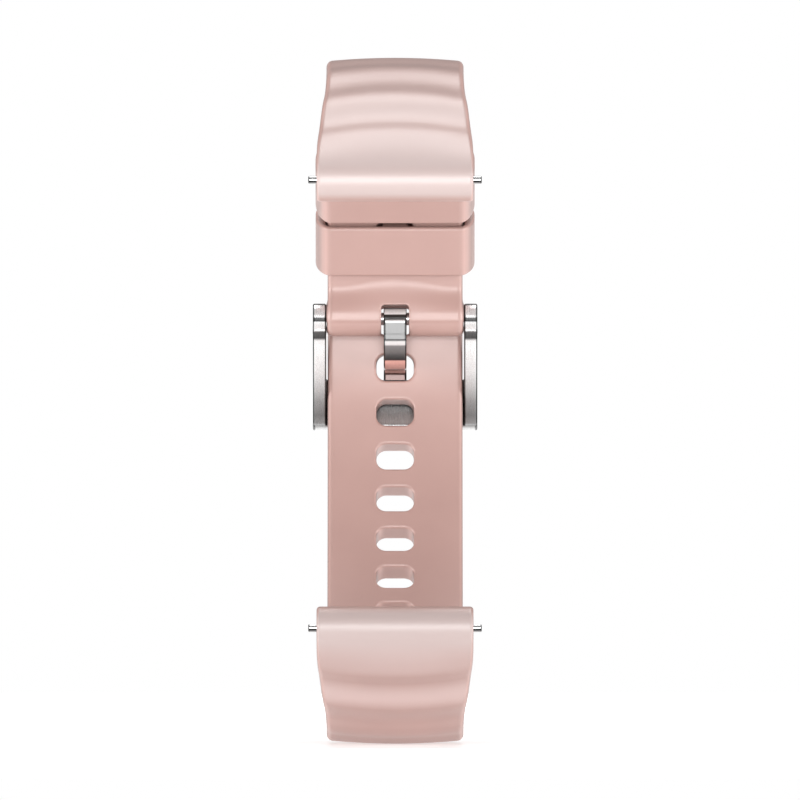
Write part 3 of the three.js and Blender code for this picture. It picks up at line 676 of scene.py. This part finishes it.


# Painted reflection bands by height, from the buckle's foot up: of the rails and ears, of the plate and of the
# tongue
FRAME_PAINTED_REFLECTION = [
    (-2.8, 0.80),
    (-2.3, 0.34),
    (-1.2, 0.22),
    (0.4, 0.37),
    (3.5, 0.9),
    (6.6, 0.9),
    (6.85, 0.08),
    (7.5, 0.14),
    (7.7, 0.9),
    (8.5, 0.9),
    (8.65, 0.02),
    (9.0, 0.02),
    (9.2, 0.95),
    (10.2, 1.0),
    (10.42, 0.05),
]
PLATE_PAINTED_REFLECTION = [(-2.4, 0.25), (-1.9, 0.45), (-0.9, 0.24), (-0.3, 0.14)]
PAINTED_PINK_REFLECTION = (0.84, 0.48, 0.42)  # painted reflection of the strap, in the tongue
TONGUE_PAINTED_REFLECTION = [
    (3.0, (0.10, 0.055, 0.048)),
    (3.2, (0.12, 0.065, 0.056)),
    (3.3, PAINTED_PINK_REFLECTION),
    (4.5, PAINTED_PINK_REFLECTION),
    (4.58, 0.04),
    (6.05, 0.30),
    (6.2, 0.90),
    (6.5, 0.90),
    (6.65, 0.08),
    (8.45, 0.085),
    (8.55, 0.5),
    (8.78, 0.5),
    (8.88, 0.02),
    (9.3, 0.04),
    (9.42, 1.0),
    (9.85, 1.0),
    (9.98, 0.1),
]

# The heights between which the bands lie
BUCKLE_FOOT = -3.3
TONGUE_FOOT = 2.5
BUCKLE_HEAD = bar_z + EAR_RADIUS

silicone = silicone_material()
upper_pin_steel = pin_material("upper_pin_steel", BAR_SPACING / 2)
lower_pin_steel = pin_material("lower_pin_steel", -BAR_SPACING / 2)
frame_steel = steel_with_painted_reflection(
    "frame_steel",
    BUCKLE_FOOT,
    BUCKLE_HEAD,
    FRAME_PAINTED_REFLECTION,
    rough=(0.24, 0.32),
    lines=(60000, 900, 900),
    depth=0.0000003,
    metallic=0.75,
    middle_bands=PLATE_PAINTED_REFLECTION,
)
tongue_steel = steel_with_painted_reflection("tongue_steel", TONGUE_FOOT, BUCKLE_HEAD, TONGUE_PAINTED_REFLECTION, metallic=0.35, **POLISHED)
polished_steel = steel_material(
    "polished_steel",
    low=(0.72, 0.72, 0.72),
    high=(0.78, 0.78, 0.78),
    rough=(0.07, 0.13),
    lines=(6000, 2500, 2500),
    depth=0.0000003,
)
bar_steel = steel_material(
    "bar_steel",
    low=(0.46, 0.46, 0.47),
    high=(0.58, 0.58, 0.59),
    rough=(0.22, 0.34),
    lines=(22000, 1500, 1500),
    depth=0.0000012,
)
spring_steel = steel_material(
    "spring_steel",
    low=(0.34, 0.35, 0.36),
    high=(0.46, 0.47, 0.48),
    rough=(0.25, 0.4),
    lines=(9000, 9000, 9000),
    depth=0.000001,
)


# ---------------------------------------------------------------- straps
def width_at(s):
    return mix(LUG_WIDTH, STRAP_WIDTH, smooth(s, TAPER_START, TAPER_END))


def wave_at(s, across):
    """The outer face's height from its crown, at a place along the strap and a share of its half width."""
    phase = s - WAVE_ARCH * (1 - across**2) + WAVE_ARCH / 2
    strength = smooth(phase, *WAVES_RISE) * (1 - smooth(phase, *WAVES_FADE))
    return -WAVE_DEPTH * strength * (1 + np.cos(2 * math.pi * (phase - WAVE_PITCH) / WAVE_PITCH)) / 2


def strap_field(x, s, out, thickness, roll=0):
    """The strap without its cuts: a crowned strip with rounded edges and a round nose about its bar."""
    half = width_at(s) / 2
    across = np.clip(x / half, -1, 1)
    depth = mix(NOSE_RADIUS, thickness / 2, smooth(s, 0, THINNING_LENGTH))
    fade = smooth(s, CROWN_FADE_START, CROWN_FADE_END)
    crown = CROWN * smooth(s, 0, CROWN_RISE) * mix(1, CROWN_AT_BACK, fade)
    outer = out - depth + crown * across**2 - wave_at(s, across)
    inner = -out - depth - roll
    nose = np.hypot(s, out) - NOSE_RADIUS
    profile = np.where(s < 0, nose, np.maximum(outer, inner))
    rounding = mix(LUG_EDGE_RADIUS, EDGE_RADIUS, smooth(s, 0, EDGE_GROWTH))
    return both(profile, np.abs(x) - half, rounding)


def lug_cuts(field, x, s, out):
    """The spring bar's bore, and the notch on the wrist side that the release knob slides in."""
    bore = np.hypot(s, out) - BORE_RADIUS
    low = KNOB_X - RELEASE_TRAVEL - NOTCH_HALF
    high = KNOB_X + NOTCH_HALF
    notch = rounded_box(x - (low + high) / 2, s, (high - low) / 2, NOTCH_HALF, NOTCH_CORNER)
    notch = both(notch, out, 0.05)
    return without(without(field, bore, 0.1), notch, CUT_ROUNDING)


def short_strap():
    """The buckle's strap: its end rolls round the buckle bar, with a slot for the tongue's eye."""
    end = short_path.length
    bar_out = SHORT_THICKNESS / 2 - END_RADIUS
    keeper_station = end - BACK_RADIUS * math.radians(FIXED_KEEPER_ANGLE - (180 - SHORT_END))
    peg_station = keeper_station - PEG_OFFSET

    def field(x, s, out):
        arch = ROLL_ARCH * np.maximum(1 - (x / ROLL_ARCH_HALF) ** 2, 0) ** 2
        roll = (2 * END_RADIUS - SHORT_THICKNESS) * smooth(s, end - ROLL_START - arch, end - ROLL_FULL)
        strip = both(strap_field(x, s, out, SHORT_THICKNESS, roll), s - end, 0.05)
        bar = np.hypot(s - end, out - bar_out)
        rolled = both(bar - END_RADIUS, np.abs(x) - STRAP_WIDTH / 2 - END_OVERHANG, EDGE_RADIUS)
        body = either(strip, rolled, 0.4)
        slot_end = end + 3 * END_RADIUS
        slot_start = end - SLOT_RISE
        slot_middle = (slot_start + slot_end) / 2
        slot_half = (slot_end - slot_start) / 2
        slot = rounded_box(x, s - slot_middle, SLOT_WIDTH / 2, slot_half, SLOT_CORNER)
        body = without(body, slot, SLOT_ROUNDING)
        body = without(body, bar - BUCKLE_BAR_RADIUS - BAR_CLEARANCE, 0.1)
        body = without(body, hole_outline(x, s - peg_station), RIM_ROUNDING)
        return lug_cuts(body, x, s, out)

    axes = (
        mirrored([0, 1.8, 0.15], [1.8, 6, 0.3], [6, 8.35, 0.15]),
        steps([-2.5, 26, 0.2], [26, end - 9, 0.4], [end - 9, end + 2.3, 0.14]),
        steps([-3.4, 2.6, 0.15]),
    )
    points, quads, slopes = carve(field, axes)
    placed, normals = short_path.place(points, slopes)
    make_piece("short_strap", placed, quads, silicone, "straps", normals=normals)


def long_strap():
    """The strap with the adjusting holes and the round tail."""
    end = long_path.length
    tongue_station = end - long_back_radius * math.radians(TAIL_END - 180 - TONGUE_HOLE_ANGLE)
    tail_radius = STRAP_WIDTH * TAIL_ROUNDING
    first_hole = tongue_station - HOLES_BEFORE_TONGUE * HOLE_PITCH
    last_hole = tongue_station + HOLES_AFTER_TONGUE * HOLE_PITCH

    def field(x, s, out):
        tail = np.hypot(x, np.maximum(s - end + tail_radius, 0)) - tail_radius
        body = both(strap_field(x, s, out, LONG_THICKNESS), tail, EDGE_RADIUS)
        nearest = np.round((s - tongue_station) / HOLE_PITCH)
        nearest = np.clip(nearest, -HOLES_BEFORE_TONGUE, HOLES_AFTER_TONGUE)
        along = s - tongue_station - nearest * HOLE_PITCH
        body = without(body, hole_outline(x, along), RIM_ROUNDING)
        return lug_cuts(body, x, s, out)

    axes = (
        mirrored([0, 2.4, 0.15], [2.4, 6, 0.3], [6, 8.35, 0.15]),
        steps(
            [-2.5, 22, 0.2],
            [22, first_hole - 3, 0.4],
            [first_hole - 3, last_hole + 3, 0.15],
            [last_hole + 3, end + 0.4, 0.3],
        ),
        steps([-2.7, 2.6, 0.15]),
    )
    points, quads, slopes = carve(field, axes)
    placed, normals = long_path.place(points, slopes)
    make_piece("long_strap", placed, quads[:, ::-1], silicone, "straps", normals=normals)


# ---------------------------------------------------------------- keepers
cavity_low = BACK_RADIUS - SHORT_THICKNESS / 2 - KEEPER_CLEARANCE
cavity_high = long_back_radius + LONG_THICKNESS / 2 + KEEPER_CLEARANCE
cavity_half = STRAP_WIDTH / 2 + KEEPER_CLEARANCE / 2


def keeper(name, angle, body, with_peg):
    """A closed silicone loop round both straps, at an angle round the back of the loop."""
    middle = (cavity_low + cavity_high) / 2
    half_out = (cavity_high - cavity_low) / 2

    def field(x, out, t):
        outer = elliptic_box(x, out - middle, KEEPER_WIDTH / 2, half_out + KEEPER_WALL, *KEEPER_CORNER)
        inner = elliptic_box(x, out - middle, cavity_half, half_out, *CAVITY_CORNER)
        ends = np.abs(t) - KEEPER_LENGTH / 2
        wall = np.maximum(outer, -inner)
        ring = both(wall, ends, KEEPER_EDGE)
        if not with_peg:
            return ring
        peg_length = KEEPER_CLEARANCE + SHORT_THICKNESS * PEG_DEPTH
        peg = rounded_box(x, t - PEG_OFFSET, PEG_WIDTH / 2, PEG_HEIGHT / 2, 0.3)
        rise = np.abs(out - cavity_low - peg_length / 2) - peg_length / 2 - PEG_SINK
        peg = both(peg, rise, 0.2)
        return either(ring, peg, 0.15)

    axes = (
        mirrored([0, 8.6, 0.12]),
        steps([cavity_low - 1, cavity_high + 1, 0.12]),
        mirrored([0, 3, 0.12]),
    )
    points, quads, slopes = carve(field, axes)
    cos, sin = math.cos(math.radians(angle)), math.sin(math.radians(angle))
    turn = np.array([[1, 0, 0], [0, cos, sin], [0, -sin, cos]])
    placed = points @ turn + [0, back_y, back_z]
    make_piece(name, placed, quads, silicone, body, normals=unit(slopes @ turn))


# ---------------------------------------------------------------- buckle
def spline(points, count):
    """A Catmull-Rom curve through the points."""
    knots = np.array(points, float)
    curve = []
    for t in np.linspace(0, len(knots) - 1, count + 1):
        i = min(int(t), len(knots) - 2)
        share = t - i
        p0, p1 = knots[max(i - 1, 0)], knots[i]
        p2, p3 = knots[i + 1], knots[min(i + 2, len(knots) - 1)]
        v0, v1 = (p2 - p0) / 2, (p3 - p1) / 2
        cubic = (2 * p1 - 2 * p2 + v0 + v1) * share**3
        curve.append(cubic + (3 * p2 - 3 * p1 - 2 * v0 - v1) * share**2 + v0 * share + p1)
    return [tuple(point) for point in curve]


plate_inner = long_back_radius + LONG_THICKNESS / 2 + PLATE_CLEARANCE
plate_outer = plate_inner + PLATE_THICKNESS


def angle_at_height(z, radius):
    return math.degrees(math.asin((z - back_z) / radius))


plate_top = angle_at_height(PLATE_TOP, plate_outer)
plate_bottom = angle_at_height(PLATE_BOTTOM, plate_outer)


def rail_outline():
    """A rail's side view, from the ear down its front to its foot, and up its back."""
    front = spline(
        [
            (bar_y - 1.25, bar_z - 1.2),
            (bar_y - 0.8, bar_z - 2.2),
            (bar_y + 0.05, bar_z - 5),
            back_point(plate_inner - 1.9, plate_bottom + 4.5),
            back_point(plate_inner - 0.4, plate_bottom + 0.4),
        ],
        24,
    )
    back = spline(
        [
            back_point(plate_outer, plate_bottom),
            back_point(plate_outer + 0.15, (plate_top + plate_bottom) / 2),
            back_point(plate_outer - 0.1, plate_top),
            (bar_y + 2.6, bar_z - 3.2),
            (bar_y + 1.5, bar_z - 0.6),
        ],
        24,
    )
    return front + back


def buckle_frame():
    """Two rails with ears on the buckle bar, joined by a plate over the long strap."""
    outer, inner = FRAME_WIDTH / 2, FRAME_INSIDE / 2
    outline = rail_outline()

    def field(x, y, z):
        rail = np.abs(np.abs(x) - (outer + inner) / 2) - (outer - inner) / 2
        ear = np.hypot(y - bar_y, z - bar_z) - EAR_RADIUS
        blade = both(polygon(y, z, outline), rail, STEEL_EDGE)
        boss = both(ear, rail, STEEL_EDGE)
        radius = np.hypot(y - back_y, z - back_z)
        height = np.degrees(np.arctan2(z - back_z, y - back_y))
        spread = np.abs(height - (plate_top + plate_bottom) / 2) - (plate_top - plate_bottom) / 2
        skin = np.abs(radius - (plate_inner + plate_outer) / 2) - PLATE_THICKNESS / 2
        plate = both(skin, spread * math.radians(1) * plate_outer, 0.25)
        plate = both(plate, np.abs(x) - outer + 0.1, 0.3)
        body = either(either(blade, boss, 0.15), plate, 0.2)
        socket_side = np.hypot(y - bar_y, z - bar_z) - SOCKET_RADIUS
        socket = both(socket_side, np.abs(x) - inner - SOCKET_DEPTH, 0.02)
        return without(body, socket, 0.05)

    axes = (
        mirrored([0, 6.8, 0.3], [6.8, 8.8, 0.08]),
        steps([bar_y - 1.9, back_y + plate_outer + 0.6, 0.1]),
        steps([PLATE_BOTTOM - 0.8, bar_z + 1.9, 0.1]),
    )
    points, quads, slopes = carve(field, axes)
    name = "buckle_frame"
    make_piece(name, points, quads, frame_steel, name, normals=unit(slopes))


def tongue_points():
    """The shank's middle line: down from the eye, through the tongue's hole and over the plate."""
    eye_front = bar_y - BUCKLE_BAR_RADIUS - BAR_CLEARANCE - TONGUE_THICKNESS / 2
    hole_y, hole_z = back_point(long_back_radius, TONGUE_HOLE_ANGLE)
    above = plate_outer + TONGUE_THICKNESS / 2 + 0.15
    return spline(
        [
            (eye_front, bar_z + 0.6),
            (eye_front, bar_z - 1.6),
            (eye_front + 0.35, bar_z - 2.6),
            (hole_y - 1, hole_z + 0.4),
            back_point(plate_outer - 0.1, plate_top + 3),
            back_point(above, plate_top - 1.3),
            back_point(above, plate_top - 5.3),
        ],
        60,
    )


def buckle_tongue():
    """A flat shank with an eye on the buckle bar."""
    line = tongue_points()

    def field(x, y, z):
        shank = line_distance(y, z, line) - TONGUE_THICKNESS / 2
        shank = both(shank, z - bar_z + 0.05, 0.15)
        sides = np.abs(x) - TONGUE_WIDTH / 2
        bar = np.hypot(y - bar_y, z - bar_z)
        bore = BUCKLE_BAR_RADIUS + BAR_CLEARANCE
        eye = both(bar - bore - TONGUE_EYE_WALL, sides, 0.1)
        body = either(both(shank, sides, 0.22), eye, 0.1)
        return without(body, bar - bore, 0.06)

    axes = (
        mirrored([0, 1.4, 0.07]),
        steps([bar_y - 1.9, back_y + plate_outer + 1.3, 0.09]),
        steps([PLATE_BOTTOM, bar_z + 1.5, 0.09]),
    )
    points, quads, slopes = carve(field, axes)
    name = "buckle_tongue"
    make_piece(name, points, quads, tongue_steel, name, normals=unit(slopes))


# ---------------------------------------------------------------- turned pieces
def softened(profile, radius):
    """A profile of (x, r) points whose corners are rounded, apart from its first and last."""
    curve = [profile[0]]
    for before, corner, after in zip(profile, profile[1:], profile[2:]):
        p0, p1, p2 = (np.array(p, float) for p in (before, corner, after))
        reach = min(radius, np.linalg.norm(p0 - p1) / 2.1, np.linalg.norm(p2 - p1) / 2.1)
        start = p1 + (p0 - p1) / np.linalg.norm(p0 - p1) * reach
        end = p1 + (p2 - p1) / np.linalg.norm(p2 - p1) * reach
        for t in np.linspace(0, 1, 5):
            curve.append(tuple(start * (1 - t) ** 2 + 2 * p1 * t * (1 - t) + end * t**2))
    return [*curve, profile[-1]]


def turned(profile, closed=False, sides=64):
    """Points and faces of a solid turned about X. A profile that isn't closed starts and ends on the axis."""
    count = len(profile)
    angles = np.linspace(0, 2 * math.pi, sides, endpoint=False)
    points = [(x, r * math.cos(a), r * math.sin(a)) for a in angles for x, r in profile]
    faces = []
    for ring in range(sides):
        here, there = ring * count, (ring + 1) % sides * count
        for i in range(count if closed else count - 1):
            j = (i + 1) % count
            faces.append((here + i, here + j, there + j, there + i))
    return np.array(points), faces


def merged(points, faces):
    """The same faces with points that lie on each other made one."""
    _, first, index = np.unique(np.round(points, 5), axis=0, return_index=True, return_inverse=True)
    kept = []
    for face in faces:
        corners = []
        for corner in (index.ravel()[i] for i in face):
            if corner not in corners:
                corners.append(int(corner))
        if len(corners) > 2:
            kept.append(corners)
    return points[first], kept


def turned_piece(name, profile, place, material, body, closed=False, flip=False):
    """A piece turned about X at a place in millimetres, and facing -X if flipped."""
    points, faces = merged(*turned(profile, closed))
    if flip:
        points = points * [-1, 1, 1]
        faces = [face[::-1] for face in faces]
    make_piece(name, points + place, faces, material, body)


def tube_profile(half, radius, lip):
    """A tube whose ends are turned in to the lip's radius."""
    inside = radius - BAR_WALL
    crimp = half - TUBE_CRIMP
    return [
        (-half, lip),
        (-half, radius - TUBE_EDGE),
        (-half + TUBE_EDGE, radius),
        (half - TUBE_EDGE, radius),
        (half, radius - TUBE_EDGE),
        (half, lip),
        (crimp, lip),
        (crimp, inside),
        (-crimp, inside),
        (-crimp, lip),
    ]


def pin_profile(reach, tube_half, shank_end, shank_radius, tip_radius):
    """A pin with a thicker shank, which the tube's turned-in end holds."""
    collar = tube_half - TUBE_CRIMP - PIN_PLAY
    corners = [
        (shank_end, 0),
        (shank_end, shank_radius),
        (collar, shank_radius),
        (collar, tip_radius),
        (reach, tip_radius),
        (reach, 0),
    ]
    return softened(corners, PIN_EDGE)


def release_knob(name, body, side, place, lean):
    """The knob on its stem, pointing to the wrist side of the strap at the bar."""
    knob = [
        (STEM_FOOT, 0),
        (STEM_FOOT, STEM_RADIUS),
        (BAR_RADIUS + STEM_LENGTH, STEM_RADIUS),
        (BAR_RADIUS + KNOB_FOOT, KNOB_RADIUS),
        (KNOB_TOP, KNOB_RADIUS),
        (KNOB_TOP, 0),
    ]
    points, faces = merged(*turned(softened(knob, KNOB_EDGE)))
    toward = np.array([0, math.cos(lean), -side * math.sin(lean)])
    turn = np.array([toward, np.cross(toward, AXIS_X), -AXIS_X])
    make_piece(name, points @ turn + place + KNOB_X * AXIS_X, faces, bar_steel, body)


def spring_bar(name, release, side, lean, pin_steel):
    """A tube with a fixed and a sliding pin, and the knob that draws the sliding one in."""
    place = np.array([0, 0, side * BAR_SPACING / 2])
    inside = BAR_RADIUS - BAR_WALL
    tube = tube_profile(BAR_HALF, BAR_RADIUS, TIP_RADIUS + PIN_PLAY)
    pin = pin_profile(TIP_REACH, BAR_HALF, SHANK_END, inside - PIN_PLAY, TIP_RADIUS)
    turned_piece(name + "_tube", tube, place, bar_steel, name, closed=True)
    turned_piece(name + "_fixed_tip", pin, place, pin_steel, name, flip=True)
    turned_piece(name + "_sliding_tip", pin, place, pin_steel, release)
    release_knob(name + "_release_knob", release, side, place, math.radians(lean))


def buckle_bar():
    """The bar through the short strap's end: a tube with a sprung tip in each of the frame's ears."""
    place = [0, bar_y, bar_z]
    inside = BUCKLE_BAR_RADIUS - BAR_WALL
    tube_half = FRAME_INSIDE / 2 - BUCKLE_BAR_PLAY
    reach = FRAME_INSIDE / 2 + BUCKLE_TIP_LENGTH
    tube = tube_profile(tube_half, BUCKLE_BAR_RADIUS, inside - BUCKLE_LIP)
    shank_radius = inside - BUCKLE_SHANK_PLAY
    pin = pin_profile(reach, tube_half, BUCKLE_SHANK_END, shank_radius, inside - BUCKLE_TIP_STEP)
    turned_piece("buckle_bar_tube", tube, place, bar_steel, "straps", closed=True)
    for side, flip in (("left", True), ("right", False)):
        name, body = "buckle_bar_tip_" + side, "buckle_tip_" + side
        turned_piece(name, pin, place, polished_steel, body, flip=flip)


# ---------------------------------------------------------------- springs
COIL_STEPS = 24  # in a turn
WIRE_SIDES = 8


def coil(start, end, radius):
    """Points and faces of a stretch of spring about X."""
    turns = SPRING_TURNS * (end - start) / (2 * (SHANK_END - 2 * SPRING_WIRE))
    rings = round(turns * COIL_STEPS)
    points = []
    for share in np.linspace(0, 1, rings + 1):
        turn = 2 * math.pi * turns * share
        outward = np.array([0, math.cos(turn), math.sin(turn)])
        middle = mix(start, end, share) * AXIS_X + radius * outward
        for angle in np.linspace(0, 2 * math.pi, WIRE_SIDES, endpoint=False):
            points.append(middle + SPRING_WIRE * (math.cos(angle) * outward + math.sin(angle) * AXIS_X))
    faces = []
    for low in range(0, rings * WIRE_SIDES, WIRE_SIDES):
        high = low + WIRE_SIDES
        for i in range(WIRE_SIDES):
            j = (i + 1) % WIRE_SIDES
            faces.append((low + i, low + j, high + j, high + i))
    faces.append(list(range(WIRE_SIDES))[::-1])
    faces.append([rings * WIRE_SIDES + i for i in range(WIRE_SIDES)])
    return np.array(points), faces


def spring(name, node, stretch, anchor, radius, place, body, joint):
    """A stretch of spring, in a mesh of its own. The anchor and the joint are not used."""
    points, faces = coil(*stretch, radius)
    piece = make_piece(name, points + place, faces, spring_steel, body, node=node)
    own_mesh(piece)


def bar_spring(name, body, joint, side):
    """The spring between a spring bar's two pins."""
    half = SHANK_END - 2 * SPRING_WIRE
    radius = BAR_RADIUS - BAR_WALL - 2 * SPRING_WIRE
    place = [0, 0, side * BAR_SPACING / 2]
    spring(name, name, (-half, half), -half, radius, place, body, joint)


def buckle_spring():
    """The buckle bar's spring, in two halves, each by its own tip."""
    half = BUCKLE_SHANK_END - 2 * SPRING_WIRE
    radius = BUCKLE_BAR_RADIUS - BAR_WALL - 2 * SPRING_WIRE
    place = [0, bar_y, bar_z]
    halves = {
        "left": ((-half, -SPRING_GAP), -SPRING_GAP),
        "right": ((SPRING_GAP, half), SPRING_GAP),
    }
    for side, (stretch, anchor) in halves.items():
        name, joint = "buckle_bar_spring_" + side, "buckle_tip_" + side + "_slide"
        spring(name, "buckle_bar_spring", stretch, anchor, radius, place, "straps", joint)


# ---------------------------------------------------------------- stage, in metres
SKY = 0.3  # grey of the room well above the horizon
FLOOR_HALF_WIDTH = 0.45
FLOOR_FRONT = -0.2
FLOOR_BACK = 0.45
FLOOR_GAP = 0.00005  # under the band
CARD_PLACE = -5.9
CARD_HALF_WIDTH = 6
CARD_HALF_HEIGHT = 1

# Name, place, side of the square and power in watts
SOFTBOXES = [
    ("front_softbox", (0, -1.6, 0.03), 0.9, 24),
    ("left_softbox", (-1.5, -0.45, 0.1), 0.5, 12),
    ("right_softbox", (1.5, -0.45, 0.1), 0.5, 12),
    ("top_softbox", (0, 0.55, 1.4), 0.8, 11),
]


def floor_material():
    """Pale matt paper, which glows a little more towards the back, as a lit backdrop does."""
    look = Look("floor")
    look.set(
        Base_Color=look.ramp(look.noise(3), [(NOISE_LOW, 0.74), (NOISE_HIGH, 0.78)]),
        Roughness=0.7,
        Emission_Color=(1, 1, 1, 1),
        Emission_Strength=look.ranged(look.along("Object", "Y"), 0.05, 0.12, 0.5, 0.9),
    )
    return look.material


def card_material():
    """Dull black, for the studio's darkness behind the camera."""
    look = Look("card")
    look.set(Base_Color=(0.01, 0.01, 0.01, 1), Roughness=0.9)
    return look.material


def rectangle(low, high):
    return [low, (high[0], low[1]), high, (low[0], high[1])]


def flat(name, corners, material):
    """A plain sheet of the stage, with nothing of the object."""
    mesh = bpy.data.meshes.new(name)
    mesh.from_pydata(corners, [], [list(range(len(corners)))])
    mesh.materials.append(material)
    plane = bpy.data.objects.new(name, mesh)
    bpy.context.scene.collection.objects.link(plane)
    plane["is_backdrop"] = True


def soft_light(name, place, size, power):
    """A square soft light that faces the object."""
    light = bpy.data.lights.new(name, "AREA")
    light.size = size
    light.energy = power
    lamp = bpy.data.objects.new(name, light)
    lamp.location = place
    lamp.rotation_euler = (-lamp.location).to_track_quat("-Z", "Y").to_euler()
    bpy.context.scene.collection.objects.link(lamp)


def studio_world():
    """A grey room, white from below up to just over the horizon."""
    world = bpy.data.worlds.new("studio")
    world.use_nodes = True
    nodes, links = world.node_tree.nodes, world.node_tree.links
    place = nodes.new("ShaderNodeTexCoord")
    split = nodes.new("ShaderNodeSeparateXYZ")
    tone = nodes.new("ShaderNodeValToRGB")
    fill_ramp(tone.color_ramp.elements, [(0.08, 1.0), (0.2, SKY)])
    links.new(place.outputs["Generated"], split.inputs["Vector"])
    links.new(split.outputs["Z"], tone.inputs["Fac"])
    links.new(tone.outputs["Color"], nodes["Background"].inputs["Color"])
    bpy.context.scene.world = world


def stage():
    """A pale table, soft boxes, and a dark strip behind the camera."""
    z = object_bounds()[0].z - FLOOR_GAP
    floor = rectangle((-FLOOR_HALF_WIDTH, FLOOR_FRONT), (FLOOR_HALF_WIDTH, FLOOR_BACK))
    flat("floor", [(x, y, z) for x, y in floor], floor_material())
    card = rectangle((-CARD_HALF_WIDTH, -CARD_HALF_HEIGHT), (CARD_HALF_WIDTH, CARD_HALF_HEIGHT))
    flat("dark_card", [(x, CARD_PLACE, height) for x, height in card], card_material())
    for box in SOFTBOXES:
        soft_light(*box)
    studio_world()
    bpy.context.scene.view_settings.view_transform = "Standard"


CAMERA_LENS = 1091  # millimetres, on a sensor 36 mm wide
CAMERA_PLACE = (0.00051, -2.472, 0.00041)


def camera():
    """A long lens straight in front, level with the middle of the band."""
    data = bpy.data.cameras.new("camera")
    data.lens = CAMERA_LENS
    data.sensor_width = 36
    data.clip_start = 0.1
    data.clip_end = 100
    eye = bpy.data.objects.new("camera", data)
    eye.location = CAMERA_PLACE
    eye.rotation_euler = (math.radians(90), 0, 0)
    bpy.context.scene.collection.objects.link(eye)
    bpy.context.scene.camera = eye


# ---------------------------------------------------------------- the model
half_step = math.atan((KEEPER_LENGTH + KEEPER_GAP) / 2 / (cavity_low - KEEPER_WALL))
keeper_step = 2 * math.degrees(half_step)
short_strap()
long_strap()
keeper("fixed_keeper", FIXED_KEEPER_ANGLE, "straps", True)
keeper("free_keeper", FIXED_KEEPER_ANGLE + keeper_step, "free_keeper", False)
buckle_frame()
buckle_tongue()
spring_bar("upper_bar", "upper_release", 1, SHORT_LEAN, upper_pin_steel)
spring_bar("lower_bar", "lower_release", -1, LONG_LEAN, lower_pin_steel)
buckle_bar()
bar_spring("upper_bar_spring", "upper_bar", "upper_release_slide", 1)
bar_spring("lower_bar_spring", "lower_bar", "lower_release_slide", -1)
buckle_spring()
stage()
camera()
